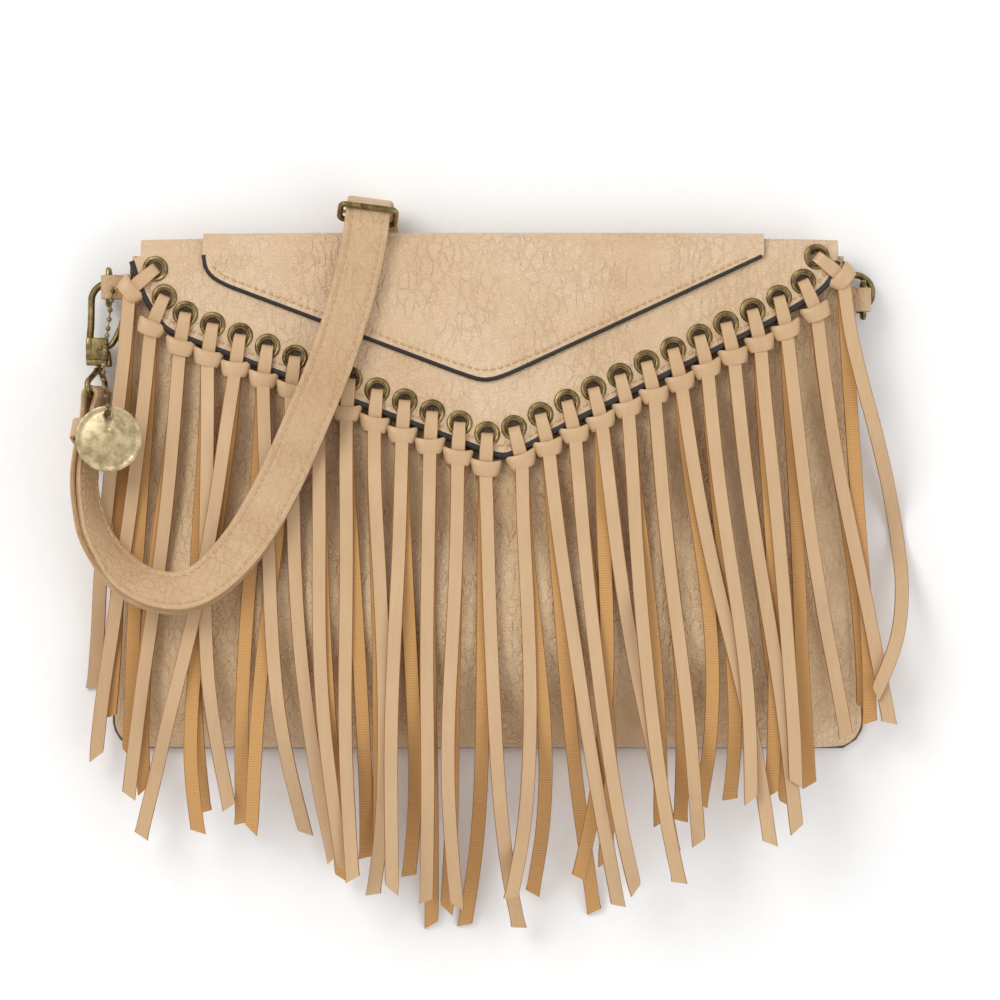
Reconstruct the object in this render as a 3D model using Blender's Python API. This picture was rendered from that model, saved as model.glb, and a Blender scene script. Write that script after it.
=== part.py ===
"""A small fringed shoulder bag with a pointed flap, lying on its back.

Lengths are in millimetres and turned to metres when a mesh is made.
X runs along the bag, Y from its bottom edge to its top fold, Z up from the back panel.
"""

import math

import bmesh
import bpy
import numpy as np
from mathutils import Matrix, Vector

MM = 0.001
SEAT_GAP = 0.3
RIM_GAP = 0.6

# Bag body
BODY_BOTTOM_WIDTH = 280.0
BODY_TOP_WIDTH = 264.0
TOP_SIDE = BODY_TOP_WIDTH / 2
BODY_HEIGHT = 183.0
BODY_DEPTH = 32.0
MOUTH_DEPTH = 3.6
CORNER_RADIUS = 11.0
PANEL_THICKNESS = 1.6
BACK_FLAT_LENGTH = 88.0
BACK_RISE = 13.0
PLEAT_HEIGHT = 2.2
PLEAT_SPREAD = 6.5
PLEAT_CENTRES = (-108.0, -84.0, -62.0, -37.0, -14.0, 15.0, 40.0, 61.0, 84.0, 106.0)
LINING_INSET = 4.6

# Flap and its laid-on yoke
FLAP_THICKNESS = 2.4
FLAP_STANDOFF = 3.0
FLAP_BACK_LENGTH = 15.0
FOLD_REACH = 9.0
FLAP_LEFT = -128.5
FLAP_RIGHT = 129.5
FLAP_EDGE = (
    (-131.5, 181.0), (-129.5, 174.0), (-125.5, 165.0), (-119.0, 155.5), (6.0, 108.0),
    (28.0, 120.0), (104.0, 158.5), (121.5, 169.0), (126.5, 174.0), (129.0, 181.0),
)
YOKE_THICKNESS = 1.4
YOKE_EDGE = (
    (-105.0, 183.0), (-104.0, 177.0), (-99.0, 173.0), (-9.0, 139.0), (-1.0, 136.5),
    (7.0, 139.0), (95.0, 180.0), (101.0, 182.8),
)
YOKE_LEFT = -105.5
YOKE_RIGHT = 102.0

# Eyelets
EYELET_COUNT = 27
EYELET_LINE = (
    (-123.0, 178.0), (-118.5, 164.0), (2.5, 115.5), (113.0, 170.0), (120.0, 176.5), (121.5, 182.5),
)
EYELET_OUTER_RADIUS = 4.4
EYELET_BORE_RADIUS = 2.8
EYELET_PROUD = 0.8
EYELET_SIDES = 8

# Laces
LACE_WIDTH = 5.2
LACE_THICKNESS = 1.3
LACE_NECK_WIDTH = 4.0
LACE_GAP = 0.5
KNOT_DROP = 12.5
KNOT_LENGTH = 5.2
KNOT_WIDTH = 9.4
KNOT_DEPTH = 5.4
KNOT_LEVEL = -0.6
TAIL_POINTS = 9
TAIL_REACH = 80.0
MAP_MARGIN = 35.0
TAIL_SLOPE = 0.5

# Each lace has two tails: front tip x, y and its sideways bend, then the same for the back tail.
TAIL_TIPS = (
    (-148, 23, 5, -141, 12, 4), (-145, -3, 6, -134, -2, 3), (-133, -17, 9, -127, -15, -5),
    (-96, -21, -12, -106, -23, -6), (-128, -32, 16, -107, -30, -8), (-68, -31, -14, -92, -27, 1),
    (-57, -40, -16, -88, -29, 3), (-54, -44, -10, -55, -48, -4), (-50, -47, -3, -46, -40, 3),
    (-43, -53, 12, -40, -42, 2), (-36, -51, 0, -30, -47, 7), (-23, -56, 0, -21, -66, -1),
    (-12, -58, -5, -16, -60, 4), (12, -66, -13, -9, -66, 10), (8, -54, 15, 17, -54, 10),
    (48, -57, -10, 39, -61, -8), (55, -51, -16, 44, -42, 5), (68, -38, -12, 34, -47, 16),
    (71, -48, -16, 64, -27, 2), (78, -34, -6, 72, -26, 2), (104, -34, -10, 79, -20, 12),
    (97, -18, -1, 89, -18, 5), (114, -29, -8, 110, -20, -3), (113, -12, 0, 105, -16, 4),
    (132, 5, -10, 119, -13, -3), (149, 10, -12, 139, 15, 2), (143, 21, 28, 141, 10, -1),
)

# Magnetic snap
SNAP_CENTRE = (0.0, 138.0)
SNAP_RADIUS = 6.5
SNAP_THICKNESS = 0.9

# Strap
STRAP_WIDTH = 16.5
STRAP_THICKNESS = 1.9
STRAP_LAYER_GAP = 0.6
STRAP_STEP = 9.0
STRAP_SLOPE = 0.62
KEEPER_THICKNESS = 1.4
KEEPER_LENGTH = 8.0
KEEPER_CLEARANCE = 0.8
KEEPER_PLACE = 17.0
SLIDER_WIRE = 1.1
SLIDER_BAR = 0.7
SLIDER_Y = BODY_HEIGHT + 14.5
STRAP_RETURN = 20.0
# From the left eye to the slider: x and y from the bag's top left corner, then the direction of the
# strap's width and its roll in degrees
STRAP_FRONT = (
    (-13.6, -51.5, -180, 75), (-15.8, -68.5, -178, 74), (-17.0, -85.0, -172, 70), (-12.5, -103.5, -150, 60),
    (-0.5, -118.5, -122, 48), (14.3, -124.5, -92, 36), (27.5, -121.5, -62, 28), (41.0, -108.5, -42, 14),
    (53.0, -89.0, -30, 4), (64.0, -65.0, -25, 0), (74.0, -40.0, -21, 0), (81.5, -16.5, -17, 0),
    (85.4, 0.0, -12, 0), (86.8, 8.0, -10, 0),
)
# Over the top fold and under the raised back to the right eye: x and y from the same corner, z, then
# the direction of the strap's width
STRAP_BACK = (
    (87.6, 15.0, 26.2, -9), (88.2, 20.6, 20.5, -8), (88.6, 21.8, 13.0, -8), (89.0, 19.0, 5.6, -8),
    (90.0, 11.0, 1.2, -6), (96.0, -10.0, 0.05, 14), (114.0, -26.5, 0.05, 52), (144.0, -32.5, 0.05, 84),
    (177.0, -28.5, 0.05, 98), (207.0, -20.7, 1.7, 101),
)

# Hooks, rings and charm
HOOK_WIRE = 1.3
HOOK_ARC_RADIUS = 6.6
HOOK_RISE = 17.5
HOOK_AXIS = 1.4
PIVOT = (2.2, 0.0)
CHEEK_GAP = 1.9
CHEEK_THICKNESS = 1.2
RIVET_RADIUS = 0.9
PIVOT_CLEARANCE = 0.3
RING_WIRE = 1.0
RING_WIDTH = 13.0
RING_DEPTH = 11.4
TAB_WIDTH = 9.0
TAB_THICKNESS = 1.4
EYE_WIRE = 1.1
EYE_DROP = 17.5
EYE_SHIFT = 2.9
LEFT_BAR = (-TOP_SIDE - 9.0, BODY_HEIGHT - 11.5, 14.5)
LEFT_HOOK = (-TOP_SIDE - 14.3, BODY_HEIGHT - 34.0, 9.5)
LEFT_EYE_WIDE = (-0.26, 0.0, 0.97)
RIGHT_BAR = (TOP_SIDE + 7.5, BODY_HEIGHT - 16.1, 12.7)
RIGHT_HOOK = (TOP_SIDE - 13.7, BODY_HEIGHT - 11.05, 5.4)
RIGHT_HOOK_TURN = math.radians(-80.0)
CHARM_CENTRE = (-TOP_SIDE - 7.5, BODY_HEIGHT - 68.0)
CHARM_HOLE_INSET = 3.2
CHARM_RADIUS = 12.2
CHARM_THICKNESS = 1.2
CHARM_HOLE_RADIUS = 1.6
BEAD_RADIUS = 0.95
BEAD_PITCH = 3.6
BEAD_NECK_RADIUS = 0.45
CHAIN_ROUTE = (
    (-6.8, -11.3), (-8.0, -20.0), (-9.0, -30.0), (-9.6, -41.0), (-9.0, -50.0), (-7.5, -54.8),
)


def smooth(t):
    """Rises from 0 to 1 with level ends."""
    t = np.clip(t, 0.0, 1.0)
    return t * t * (3.0 - 2.0 * t)


def along(points, distance):
    """The place at a distance along a line of points."""
    for a, b in zip(points, points[1:]):
        a, b = np.array(a, float), np.array(b, float)
        length = np.linalg.norm(b - a)
        if distance <= length + 1e-6:
            return a + (b - a) * distance / length
        distance -= length
    return b


def line_length(points):
    return sum(math.dist(a, b) for a, b in zip(points, points[1:]))


def half_width(y):
    """Half the body's width at a height, with its rounded lower corners."""
    full = (BODY_BOTTOM_WIDTH + (BODY_TOP_WIDTH - BODY_BOTTOM_WIDTH) * y / BODY_HEIGHT) / 2
    below = np.clip(CORNER_RADIUS - y, 0.0, CORNER_RADIUS)
    return full - CORNER_RADIUS + np.sqrt(CORNER_RADIUS**2 - below**2)


def back_height(y):
    """Underside of the back panel: flat, then lifting towards the top fold."""
    return BACK_RISE * smooth((y - BACK_FLAT_LENGTH) / (BODY_HEIGHT - BACK_FLAT_LENGTH))


def fullness(v):
    """How full the bag is from its bottom seam, 0, to its mouth, 1."""
    rise = (1.0 - (1.0 - np.minimum(v / 0.3, 1.0)) ** 2.5) ** 0.6
    fall = 1.0 - (1.0 - MOUTH_DEPTH / BODY_DEPTH) * smooth((v - 0.3) / 0.7)
    return rise * fall


def smooth_front(x, y):
    """The front panel's outer face, without its soft pleats."""
    v = np.clip(y / BODY_HEIGHT, 0.0, 1.0)
    u = np.clip(np.abs(x) / half_width(np.clip(y, 0.0, BODY_HEIGHT)), 0.0, 1.0)
    rim = back_height(y) + PANEL_THICKNESS + RIM_GAP
    return rim + BODY_DEPTH * fullness(v) * (1.0 - u**4) ** 0.6


def edge_height(x):
    """Height of the flap's pointed edge at x."""
    xs = [p[0] for p in FLAP_EDGE]
    ys = [p[1] for p in FLAP_EDGE]
    return np.interp(x, xs, ys)


def front_face(x, y):
    """The front panel's outer face with its pleats, which fade out under the flap."""
    below_flap = smooth((edge_height(x) - 18.0 - y) / 24.0)
    above_seam = smooth(y / 30.0)
    ripple = sum(np.exp(-(((x - c - 0.03 * (y - BODY_HEIGHT / 3)) / PLEAT_SPREAD) ** 2)) for c in PLEAT_CENTRES)
    side = smooth((half_width(np.clip(y, 0.0, BODY_HEIGHT)) - np.abs(x)) / 16.0)
    return smooth_front(x, y) + PLEAT_HEIGHT * (ripple - 0.5) * below_flap * above_seam * side


def flap_height(x, y):
    """Middle of the flap's thickness over the front panel."""
    return smooth_front(0.93 * x, y) + FLAP_STANDOFF + FLAP_THICKNESS / 2


def normal_of(height, x, y):
    """Upward unit normal of a height field."""
    step = 0.5
    dx = (height(x + step, y) - height(x - step, y)) / (2 * step)
    dy = (height(x, y + step) - height(x, y - step)) / (2 * step)
    return Vector((-float(dx), -float(dy), 1.0)).normalized()


def material(name, colour, roughness, metallic=0.0):
    made = bpy.data.materials.new(name)
    made.use_nodes = True
    shader = made.node_tree.nodes["Principled BSDF"]
    shader.inputs["Base Color"].default_value = (*colour, 1.0)
    shader.inputs["Roughness"].default_value = roughness
    shader.inputs["Metallic"].default_value = metallic
    return made


def finish_object(name, mesh, finish, place=True):
    """Links a mesh as one named piece of the bag."""
    obj = bpy.data.objects.new(name, mesh)
    obj.data.materials.clear()
    obj.data.materials.append(finish)
    (PARTS if place else CUTTERS).objects.link(obj)
    obj.parent = BAG
    if not place:
        obj.hide_render = True
        obj.display_type = "WIRE"
    return obj


def mesh_from(name, verts, faces):
    mesh = bpy.data.meshes.new(name)
    mesh.from_pydata([tuple(float(c) * MM for c in v) for v in verts], [], faces)
    mesh.update()
    fix = bmesh.new()
    fix.from_mesh(mesh)
    bmesh.ops.recalc_face_normals(fix, faces=fix.faces)
    fix.to_mesh(mesh)
    fix.free()
    mesh.shade_smooth()
    mesh.set_sharp_from_angle(angle=math.radians(40))
    return mesh


def shell(name, outer, inner):
    """Closes two matching grids of points into one sheet with thickness."""
    rows, cols = outer.shape[:2]
    verts = [*outer.reshape(-1, 3), *inner.reshape(-1, 3)]
    half = rows * cols
    faces = []
    for r in range(rows - 1):
        for c in range(cols - 1):
            a, b = r * cols + c, r * cols + c + 1
            d, e = a + cols, b + cols
            faces.append((a, b, e, d))
            faces.append((half + a, half + d, half + e, half + b))
    rim = [r * cols for r in range(rows)]
    rim += [(rows - 1) * cols + c for c in range(1, cols)]
    rim += [r * cols + cols - 1 for r in range(rows - 2, -1, -1)]
    rim += list(range(cols - 2, 0, -1))
    for a, b in zip(rim, rim[1:] + rim[:1]):
        faces.append((a, b, half + b, half + a))
    return mesh_from(name, verts, faces)


def grid_normals(grid):
    """Unit normals at the points of a grid, pointing up or outwards."""
    along_rows = np.gradient(grid, axis=0)
    along_cols = np.gradient(grid, axis=1)
    normals = np.cross(along_cols, along_rows)
    return normals / np.linalg.norm(normals, axis=2, keepdims=True)


def sweep(name, centres, widths, sides, closed=False):
    """A tube of any flat section: each ring is centre + width * a + side * b for the section's corners."""
    rings = []
    for centre, wide, side in zip(centres, widths, sides):
        rings.append([centre + wide * a + side * b for a, b in ((-1, -1), (1, -1), (1, 1), (-1, 1))])
    count = len(rings)
    verts = [p for ring in rings for p in ring]
    faces = []
    for i in range(count if closed else count - 1):
        j = (i + 1) % count
        for k in range(4):
            m = (k + 1) % 4
            faces.append((4 * i + k, 4 * i + m, 4 * j + m, 4 * j + k))
    if not closed:
        faces.append((3, 2, 1, 0))
        last = 4 * (count - 1)
        faces.append((last, last + 1, last + 2, last + 3))
    return mesh_from(name, verts, faces)


def tube(name, points, radius, closed=False, sides=8):
    """A round wire along points, with mitred rings."""
    points = [Vector(p) for p in points]
    count = len(points)
    rings = []
    across = None
    for i, point in enumerate(points):
        if closed:
            before, after = points[i - 1], points[(i + 1) % count]
        else:
            before, after = points[max(i - 1, 0)], points[min(i + 1, count - 1)]
        tangent = (after - before).normalized()
        if across is None:
            helper = Vector((0, 0, 1)) if abs(tangent.z) < 0.7 else Vector((1, 0, 0))
            across = tangent.cross(helper).normalized()
        across = (across - tangent * across.dot(tangent)).normalized()
        other = tangent.cross(across)
        r = radius[i] if isinstance(radius, (list, tuple)) else radius
        turn = [2 * math.pi * (k + 0.5) / sides for k in range(sides)]
        rings.append([point + (across * math.cos(a) + other * math.sin(a)) * r for a in turn])
    verts = [p for ring in rings for p in ring]
    faces = []
    for i in range(count if closed else count - 1):
        j = (i + 1) % count
        for k in range(sides):
            m = (k + 1) % sides
            faces.append((sides * i + k, sides * i + m, sides * j + m, sides * j + k))
    if not closed:
        faces.append(tuple(range(sides - 1, -1, -1)))
        faces.append(tuple(sides * (count - 1) + k for k in range(sides)))
    return mesh_from(name, verts, faces)


def disc(name, centre, axis, radius, thickness, sides=16):
    """A round plate, centred on a point."""
    made = bmesh.new()
    bmesh.ops.create_cone(
        made, cap_ends=True, segments=sides, radius1=radius * MM, radius2=radius * MM, depth=thickness * MM
    )
    turn = Vector((0, 0, 1)).rotation_difference(Vector(axis)).to_matrix().to_4x4()
    bmesh.ops.transform(made, matrix=Matrix.Translation(Vector(centre) * MM) @ turn, verts=made.verts)
    mesh = bpy.data.meshes.new(name)
    made.to_mesh(mesh)
    made.free()
    return mesh


def block(name, low, high, frame=None):
    """A box between two corners, in a hook's own frame if one is given."""
    made = bmesh.new()
    bmesh.ops.create_cube(made, size=1.0)
    low, high = Vector(low), Vector(high)
    for vert in made.verts:
        place = Vector((low[k] + (vert.co[k] + 0.5) * (high[k] - low[k]) for k in range(3)))
        vert.co = (frame @ place if frame else place) * MM
    mesh = bpy.data.meshes.new(name)
    made.to_mesh(mesh)
    made.free()
    return mesh


def combine(base, meshes, operation, finish):
    """Joins or cuts a piece with other meshes, one Boolean each, and applies them."""
    for k, mesh in enumerate(meshes):
        tool = finish_object(f"{base.name}_tool_{k}", mesh, finish, place=False)
        modifier = base.modifiers.new("Boolean", "BOOLEAN")
        modifier.operation = operation
        modifier.solver = "EXACT"
        modifier.object = tool
    graph = bpy.context.evaluated_depsgraph_get()
    graph.update()
    made = bpy.data.meshes.new_from_object(base.evaluated_get(graph))
    base.modifiers.clear()
    base.data = made
    for tool in [o for o in CUTTERS.objects if o.name.startswith(base.name + "_tool_")]:
        bpy.data.objects.remove(tool)
    return base


def merged(name, meshes):
    """Several closed meshes that don't touch, as one cutter."""
    made = bmesh.new()
    for mesh in meshes:
        made.from_mesh(mesh)
    whole = bpy.data.meshes.new(name)
    made.to_mesh(whole)
    made.free()
    return whole


def body_columns(count):
    s = np.linspace(-1.0, 1.0, count + 1)
    return 0.5 * (s + np.sin(s * np.pi / 2))


def make_front_panel():
    """The gathered front panel: its rim stands on the back panel's rim."""
    u = body_columns(34)
    v = np.linspace(0.0, 1.0, 12) ** 1.25
    grid = np.zeros((len(v), len(u), 3))
    for r, row in enumerate(v):
        y = row * BODY_HEIGHT
        x = u * half_width(y)
        grid[r, :, 0] = x
        grid[r, :, 1] = y
        grid[r, :, 2] = front_face(x, y)
    inner = grid - grid_normals(grid) * PANEL_THICKNESS
    inner[:, :, 1] = np.clip(inner[:, :, 1], 0.0, BODY_HEIGHT)
    floor = (back_height(grid[:, :, 1]) + PANEL_THICKNESS + RIM_GAP)[:, :, None]
    inner[:, :, 2:] = np.maximum(inner[:, :, 2:], floor)
    inner[0, :, 1] = PANEL_THICKNESS
    inner[:, 0, 0] = grid[:, 0, 0] + PANEL_THICKNESS
    inner[:, -1, 0] = grid[:, -1, 0] - PANEL_THICKNESS
    return finish_object("front_panel", shell("front_panel", grid, inner), LEATHER)


def make_back_panel():
    """One flat panel whose top lifts towards the fold."""
    flat = np.linspace(0.0, 1.0, 5) ** 2 * CORNER_RADIUS
    rise = np.linspace(BACK_FLAT_LENGTH, BODY_HEIGHT, 10)
    ys = np.concatenate([flat, rise])
    under = np.zeros((len(ys), 3, 3))
    for r, y in enumerate(ys):
        under[r, :, 0] = np.array([-1.0, 0.0, 1.0]) * half_width(y)
        under[r, :, 1] = y
        under[r, :, 2] = back_height(y)
    top = under + np.array([0.0, 0.0, PANEL_THICKNESS])
    return finish_object("back_panel", shell("back_panel", top, under), LEATHER)


def make_lining():
    """The closed lining pouch, filled out as the bag is."""
    us = np.linspace(-0.9, 0.9, 15)
    vs = np.linspace(0.07, 0.86, 9)
    top = np.zeros((len(vs), len(us), 3))
    for r, v in enumerate(vs):
        y = v * BODY_HEIGHT
        x = us * half_width(y)
        top[r, :, 0] = x
        top[r, :, 1] = y
        top[r, :, 2] = smooth_front(x, y) - LINING_INSET
    under = top.copy()
    under[:, :, 2] = back_height(top[:, :, 1]) + PANEL_THICKNESS + 2 * SEAT_GAP
    top[:, :, 2] = np.maximum(top[:, :, 2], under[:, :, 2] + 0.6)
    return finish_object("lining", shell("lining", top, under), LINING)


def flap_sheet(edge, left, right, offset, thickness, columns, rows, back_rows, fold_from):
    """A sheet over the front: pointed edge, top fold and, for the flap, the strip sewn on the back."""
    xs_top = np.linspace(left, right, columns + 1)
    total = line_length(edge)
    bottom = np.array([along(edge, total * k / columns) for k in range(columns + 1)])
    lines = []
    for y in back_rows:
        z = back_height(y) - SEAT_GAP - FLAP_THICKNESS / 2
        lines.append([(x, y, z) for x in xs_top])
    low = back_height(BODY_HEIGHT) - SEAT_GAP - FLAP_THICKNESS / 2
    for angle in np.linspace(fold_from, 90.0, 6)[:-1]:
        a = math.radians(angle)
        line = []
        for x in xs_top:
            high = float(flap_height(x, BODY_HEIGHT))
            middle, radius = (high + low) / 2, (high - low) / 2
            reach = radius + offset
            line.append((x, BODY_HEIGHT + min(reach, 6.0 + offset) * math.cos(a), middle + reach * math.sin(a)))
        lines.append(line)
    for t in np.linspace(0.0, 1.0, rows + 1):
        line = []
        for k, x in enumerate(xs_top):
            px = x + (bottom[k, 0] - x) * t
            py = BODY_HEIGHT + (bottom[k, 1] - BODY_HEIGHT) * t
            line.append((px, py, float(flap_height(px, py)) + offset))
        lines.append(line)
    grid = np.array(lines, float)
    normals = grid_normals(grid)
    if normals[-1, columns // 2, 2] < 0:
        normals = -normals
    return grid + normals * thickness / 2, grid - normals * thickness / 2


def eyelet_places():
    """Centres of the eyelets, evenly spaced along their line."""
    total = line_length(EYELET_LINE)
    return [along(EYELET_LINE, total * k / (EYELET_COUNT - 1)) for k in range(EYELET_COUNT)]


def eyelet_ring(x, y):
    """A turned eyelet: a rolled rim on the face and a barrel through the flap."""
    normal = normal_of(flap_height, x, y)
    centre = Vector((x, y, float(flap_height(x, y))))
    helper = Vector((1, 0, 0))
    side = normal.cross(helper).normalized()
    helper = side.cross(normal)
    low, high = -FLAP_THICKNESS / 2 - 0.1, FLAP_THICKNESS / 2
    bore, outer, proud = EYELET_BORE_RADIUS, EYELET_OUTER_RADIUS, EYELET_PROUD
    profile = (
        (bore, low), (bore, high + proud * 0.6), (bore + 0.7, high + proud),
        (outer, high + 0.2), (outer, high - 0.5), (bore + 0.7, low),
    )
    verts, faces = [], []
    count = len(profile)
    for k in range(EYELET_SIDES):
        a = 2 * math.pi * (k + 0.5) / EYELET_SIDES
        radial = helper * math.cos(a) + side * math.sin(a)
        verts += [centre + radial * r + normal * h for r, h in profile]
    for k in range(EYELET_SIDES):
        n = (k + 1) % EYELET_SIDES
        for p in range(count):
            q = (p + 1) % count
            faces.append((k * count + p, k * count + q, n * count + q, n * count + p))
    return mesh_from("eyelet", verts, faces)


def make_flap():
    """The pointed flap with its row of eyelets, which are fused to it."""
    back_rows = (BODY_HEIGHT - FLAP_BACK_LENGTH, BODY_HEIGHT - FLAP_BACK_LENGTH / 2)
    outer, inner = flap_sheet(
        FLAP_EDGE, FLAP_LEFT, FLAP_RIGHT, 0.0, FLAP_THICKNESS, 30, 5, back_rows, -90.0
    )
    flap = finish_object("flap", shell("flap", outer, inner), LEATHER)
    holes = []
    rings = []
    for x, y in eyelet_places():
        centre = (x, y, float(flap_height(x, y)))
        normal = normal_of(flap_height, x, y)
        holes.append(disc("hole", centre, normal, EYELET_BORE_RADIUS + 0.35, 12.0, EYELET_SIDES))
        rings.append(eyelet_ring(x, y))
    combine(flap, [merged("holes", holes)], "DIFFERENCE", LEATHER)
    combine(flap, [merged("rings", rings)], "UNION", LEATHER)
    return flap


def make_yoke():
    """The second layer laid on the flap's face."""
    lift = FLAP_THICKNESS / 2 + SEAT_GAP + YOKE_THICKNESS / 2
    outer, inner = flap_sheet(YOKE_EDGE, YOKE_LEFT, YOKE_RIGHT, lift, YOKE_THICKNESS, 18, 4, (), 0.0)
    return finish_object("flap_yoke", shell("flap_yoke", outer, inner), LEATHER)


class Stack:
    """A height map in 1 mm cells that shows what already lies under the next piece."""

    def __init__(self):
        side = BODY_BOTTOM_WIDTH / 2 + MAP_MARGIN
        self.x0, self.y0 = -side, -TAIL_REACH
        xs = np.arange(self.x0, side)
        ys = np.arange(self.y0, BODY_HEIGHT + MAP_MARGIN)
        self.gx, self.gy = np.meshgrid(xs, ys, indexing="ij")
        y = np.clip(self.gy, 0, BODY_HEIGHT)
        inside = (self.gy == y) & (np.abs(self.gx) <= half_width(y))
        self.top = np.where(inside, front_face(self.gx, y), 0.0)
        self.spread(3)

    def add_flap(self):
        """The flap with its eyelets, and the yoke on it, down to where both turn over the top fold."""
        y = np.clip(self.gy, 0, BODY_HEIGHT)
        face = flap_height(self.gx, y) + FLAP_THICKNESS / 2
        for edge, left, right, raised in (
            (FLAP_EDGE, FLAP_LEFT - 4.0, FLAP_RIGHT + 1.0, EYELET_PROUD),
            (YOKE_EDGE, YOKE_LEFT - 1.0, YOKE_RIGHT + 1.0, SEAT_GAP + YOKE_THICKNESS),
        ):
            low = np.interp(self.gx, [p[0] for p in edge], [p[1] for p in edge]) - 2.0
            inside = (self.gx > left) & (self.gx < right) & (self.gy > low) & (self.gy < BODY_HEIGHT + FOLD_REACH)
            self.top = np.where(inside, np.maximum(self.top, face + raised + 0.3), self.top)

    def spread(self, cells):
        """Widens each height over its neighbours, to cover the facets' chords."""
        wide = self.top.copy()
        for dx in range(-cells, cells + 1):
            for dy in range(-cells, cells + 1):
                wide = np.maximum(wide, np.roll(np.roll(self.top, dx, 0), dy, 1))
        self.top = wide

    def cells(self, a, b, reach):
        """Map cells within reach of a segment, and how far along it each lies."""
        a, b = np.array(a[:2], float), np.array(b[:2], float)
        low = np.floor(np.minimum(a, b) - reach - 1 - (self.x0, self.y0)).astype(int)
        high = np.ceil(np.maximum(a, b) + reach + 1 - (self.x0, self.y0)).astype(int)
        low = np.clip(low, 0, np.array(self.top.shape) - 1)
        high = np.clip(high, 1, np.array(self.top.shape))
        gi, gj = np.meshgrid(np.arange(low[0], high[0]), np.arange(low[1], high[1]), indexing="ij")
        place = np.stack([gi + self.x0, gj + self.y0], -1)
        step = b - a
        t = np.clip(((place - a) @ step) / max(float(step @ step), 1e-9), 0.0, 1.0)
        near = np.linalg.norm(place - a - t[..., None] * step, axis=-1) <= reach
        return gi[near], gj[near], t[near]

    def under(self, a, b, reach):
        i, j, _ = self.cells(a, b, reach)
        return float(self.top[i, j].max())

    def cover(self, a, b, reach, raised):
        """Raises the map to the top of a piece from a to b."""
        i, j, t = self.cells(a, b, reach)
        level = a[2] + (b[2] - a[2]) * t + raised
        self.top[i, j] = np.maximum(self.top[i, j], level)


def lay(stack, points, reach, half, fixed=1, slope=TAIL_SLOPE):
    """Heights for a flexible strip dropped on the stack, no steeper than it can bend."""
    count = len(points)
    level = [0.0] * count
    for i in range(count - 1):
        found = stack.under(points[i], points[i + 1], reach) + LACE_GAP + half
        level[i] = max(level[i], found)
        level[i + 1] = max(level[i + 1], found)
    for i in range(fixed):
        level[i] = points[i][2]
    for i in range(fixed, count):
        run = math.dist(points[i][:2], points[i - 1][:2])
        level[i] = max(level[i], level[i - 1] - slope * run)
    for i in range(count - 2, fixed - 1, -1):
        run = math.dist(points[i][:2], points[i + 1][:2])
        level[i] = max(level[i], level[i + 1] - slope * run)
    return [np.array([p[0], p[1], z]) for p, z in zip(points, level)]


def cubic(p0, p1, p2, p3, count):
    made = []
    for t in np.linspace(0.0, 1.0, count):
        s = 1.0 - t
        made.append(s**3 * p0 + 3 * s * s * t * p1 + 3 * s * t * t * p2 + t**3 * p3)
    return made


def lace_lean(k):
    """How far each lace leans from straight down, in radians, from the left end to the right."""
    ends = {0: -0.88, 1: -0.42, EYELET_COUNT - 2: 0.42, EYELET_COUNT - 1: 0.9}
    middle = EYELET_COUNT // 2
    return ends.get(k, -0.2 + 0.012 * k if k <= middle else 0.24)


def knot_place(k, centre):
    lean = lace_lean(k)
    down = np.array([math.sin(lean), -math.cos(lean)])
    return down, centre + down * KNOT_DROP


def ribbon(name, points, widths, thickness, start=None):
    """A flat strip that stays level across its width."""
    centres = [np.array(p, float) for p in points]
    wides, sides = [], []
    for i, centre in enumerate(centres):
        before, after = centres[max(i - 1, 0)], centres[min(i + 1, len(centres) - 1)]
        run = after - before
        if start is not None and i < 2:
            run = np.array([start[0], start[1], run[2]])
        flat = np.array([run[1], -run[0], 0.0])
        flat = flat / np.linalg.norm(flat)
        up = np.cross(flat, run / np.linalg.norm(run))
        wides.append(flat * widths[i] / 2)
        sides.append(up * thickness / 2)
    return sweep(name, centres, wides, sides)


def lace_leg(down, centre, side):
    """From the middle of the bore, out of one face of the flap and down over its edge to the knot."""
    half = LACE_THICKNESS / 2
    face = FLAP_THICKNESS / 2
    if side > 0:
        rim = face + EYELET_PROUD + SEAT_GAP + half
        route = ((0.0, -0.4), (0.2, rim - 1.2), (1.9, rim), (5.4, rim), (8.6, rim - 0.7), (10.6, 0.4))
    else:
        back = -face - 0.5 - half
        route = ((0.0, 0.6), (0.4, back + 0.9), (1.9, back), (6.4, back), (10.6, back + 0.1))
    made = []
    for s, h in route:
        x, y = centre + down * s
        made.append(np.array([x, y, float(flap_height(x, y)) + h / normal_of(flap_height, x, y).z]))
    return made, [LACE_NECK_WIDTH] * 3 + [LACE_WIDTH] * (len(route) - 3)


def knot_mesh(down, knot, level):
    """The bight of the lace, wrapped across both tails."""
    across = Vector((down[1], -down[0], 0.0))
    along_lace = Vector((down[0], down[1], 0.0))
    middle = Vector((knot[0], knot[1], level))
    outline = ((-1, -0.35), (-0.75, -1), (0.75, -1), (1, -0.35), (1, 0.35), (0.75, 1), (-0.75, 1), (-1, 0.35))
    verts = []
    for end in (-1, 1):
        for a, b in outline:
            place = middle + along_lace * end * KNOT_LENGTH / 2
            verts.append(place + across * a * KNOT_WIDTH / 2 + Vector((0, 0, b * KNOT_DEPTH / 2)))
    faces = [tuple(range(8)), tuple(range(15, 7, -1))]
    faces += [(k, 8 + k, 8 + (k + 1) % 8, (k + 1) % 8) for k in range(8)]
    return mesh_from("knot", verts, faces)


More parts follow.
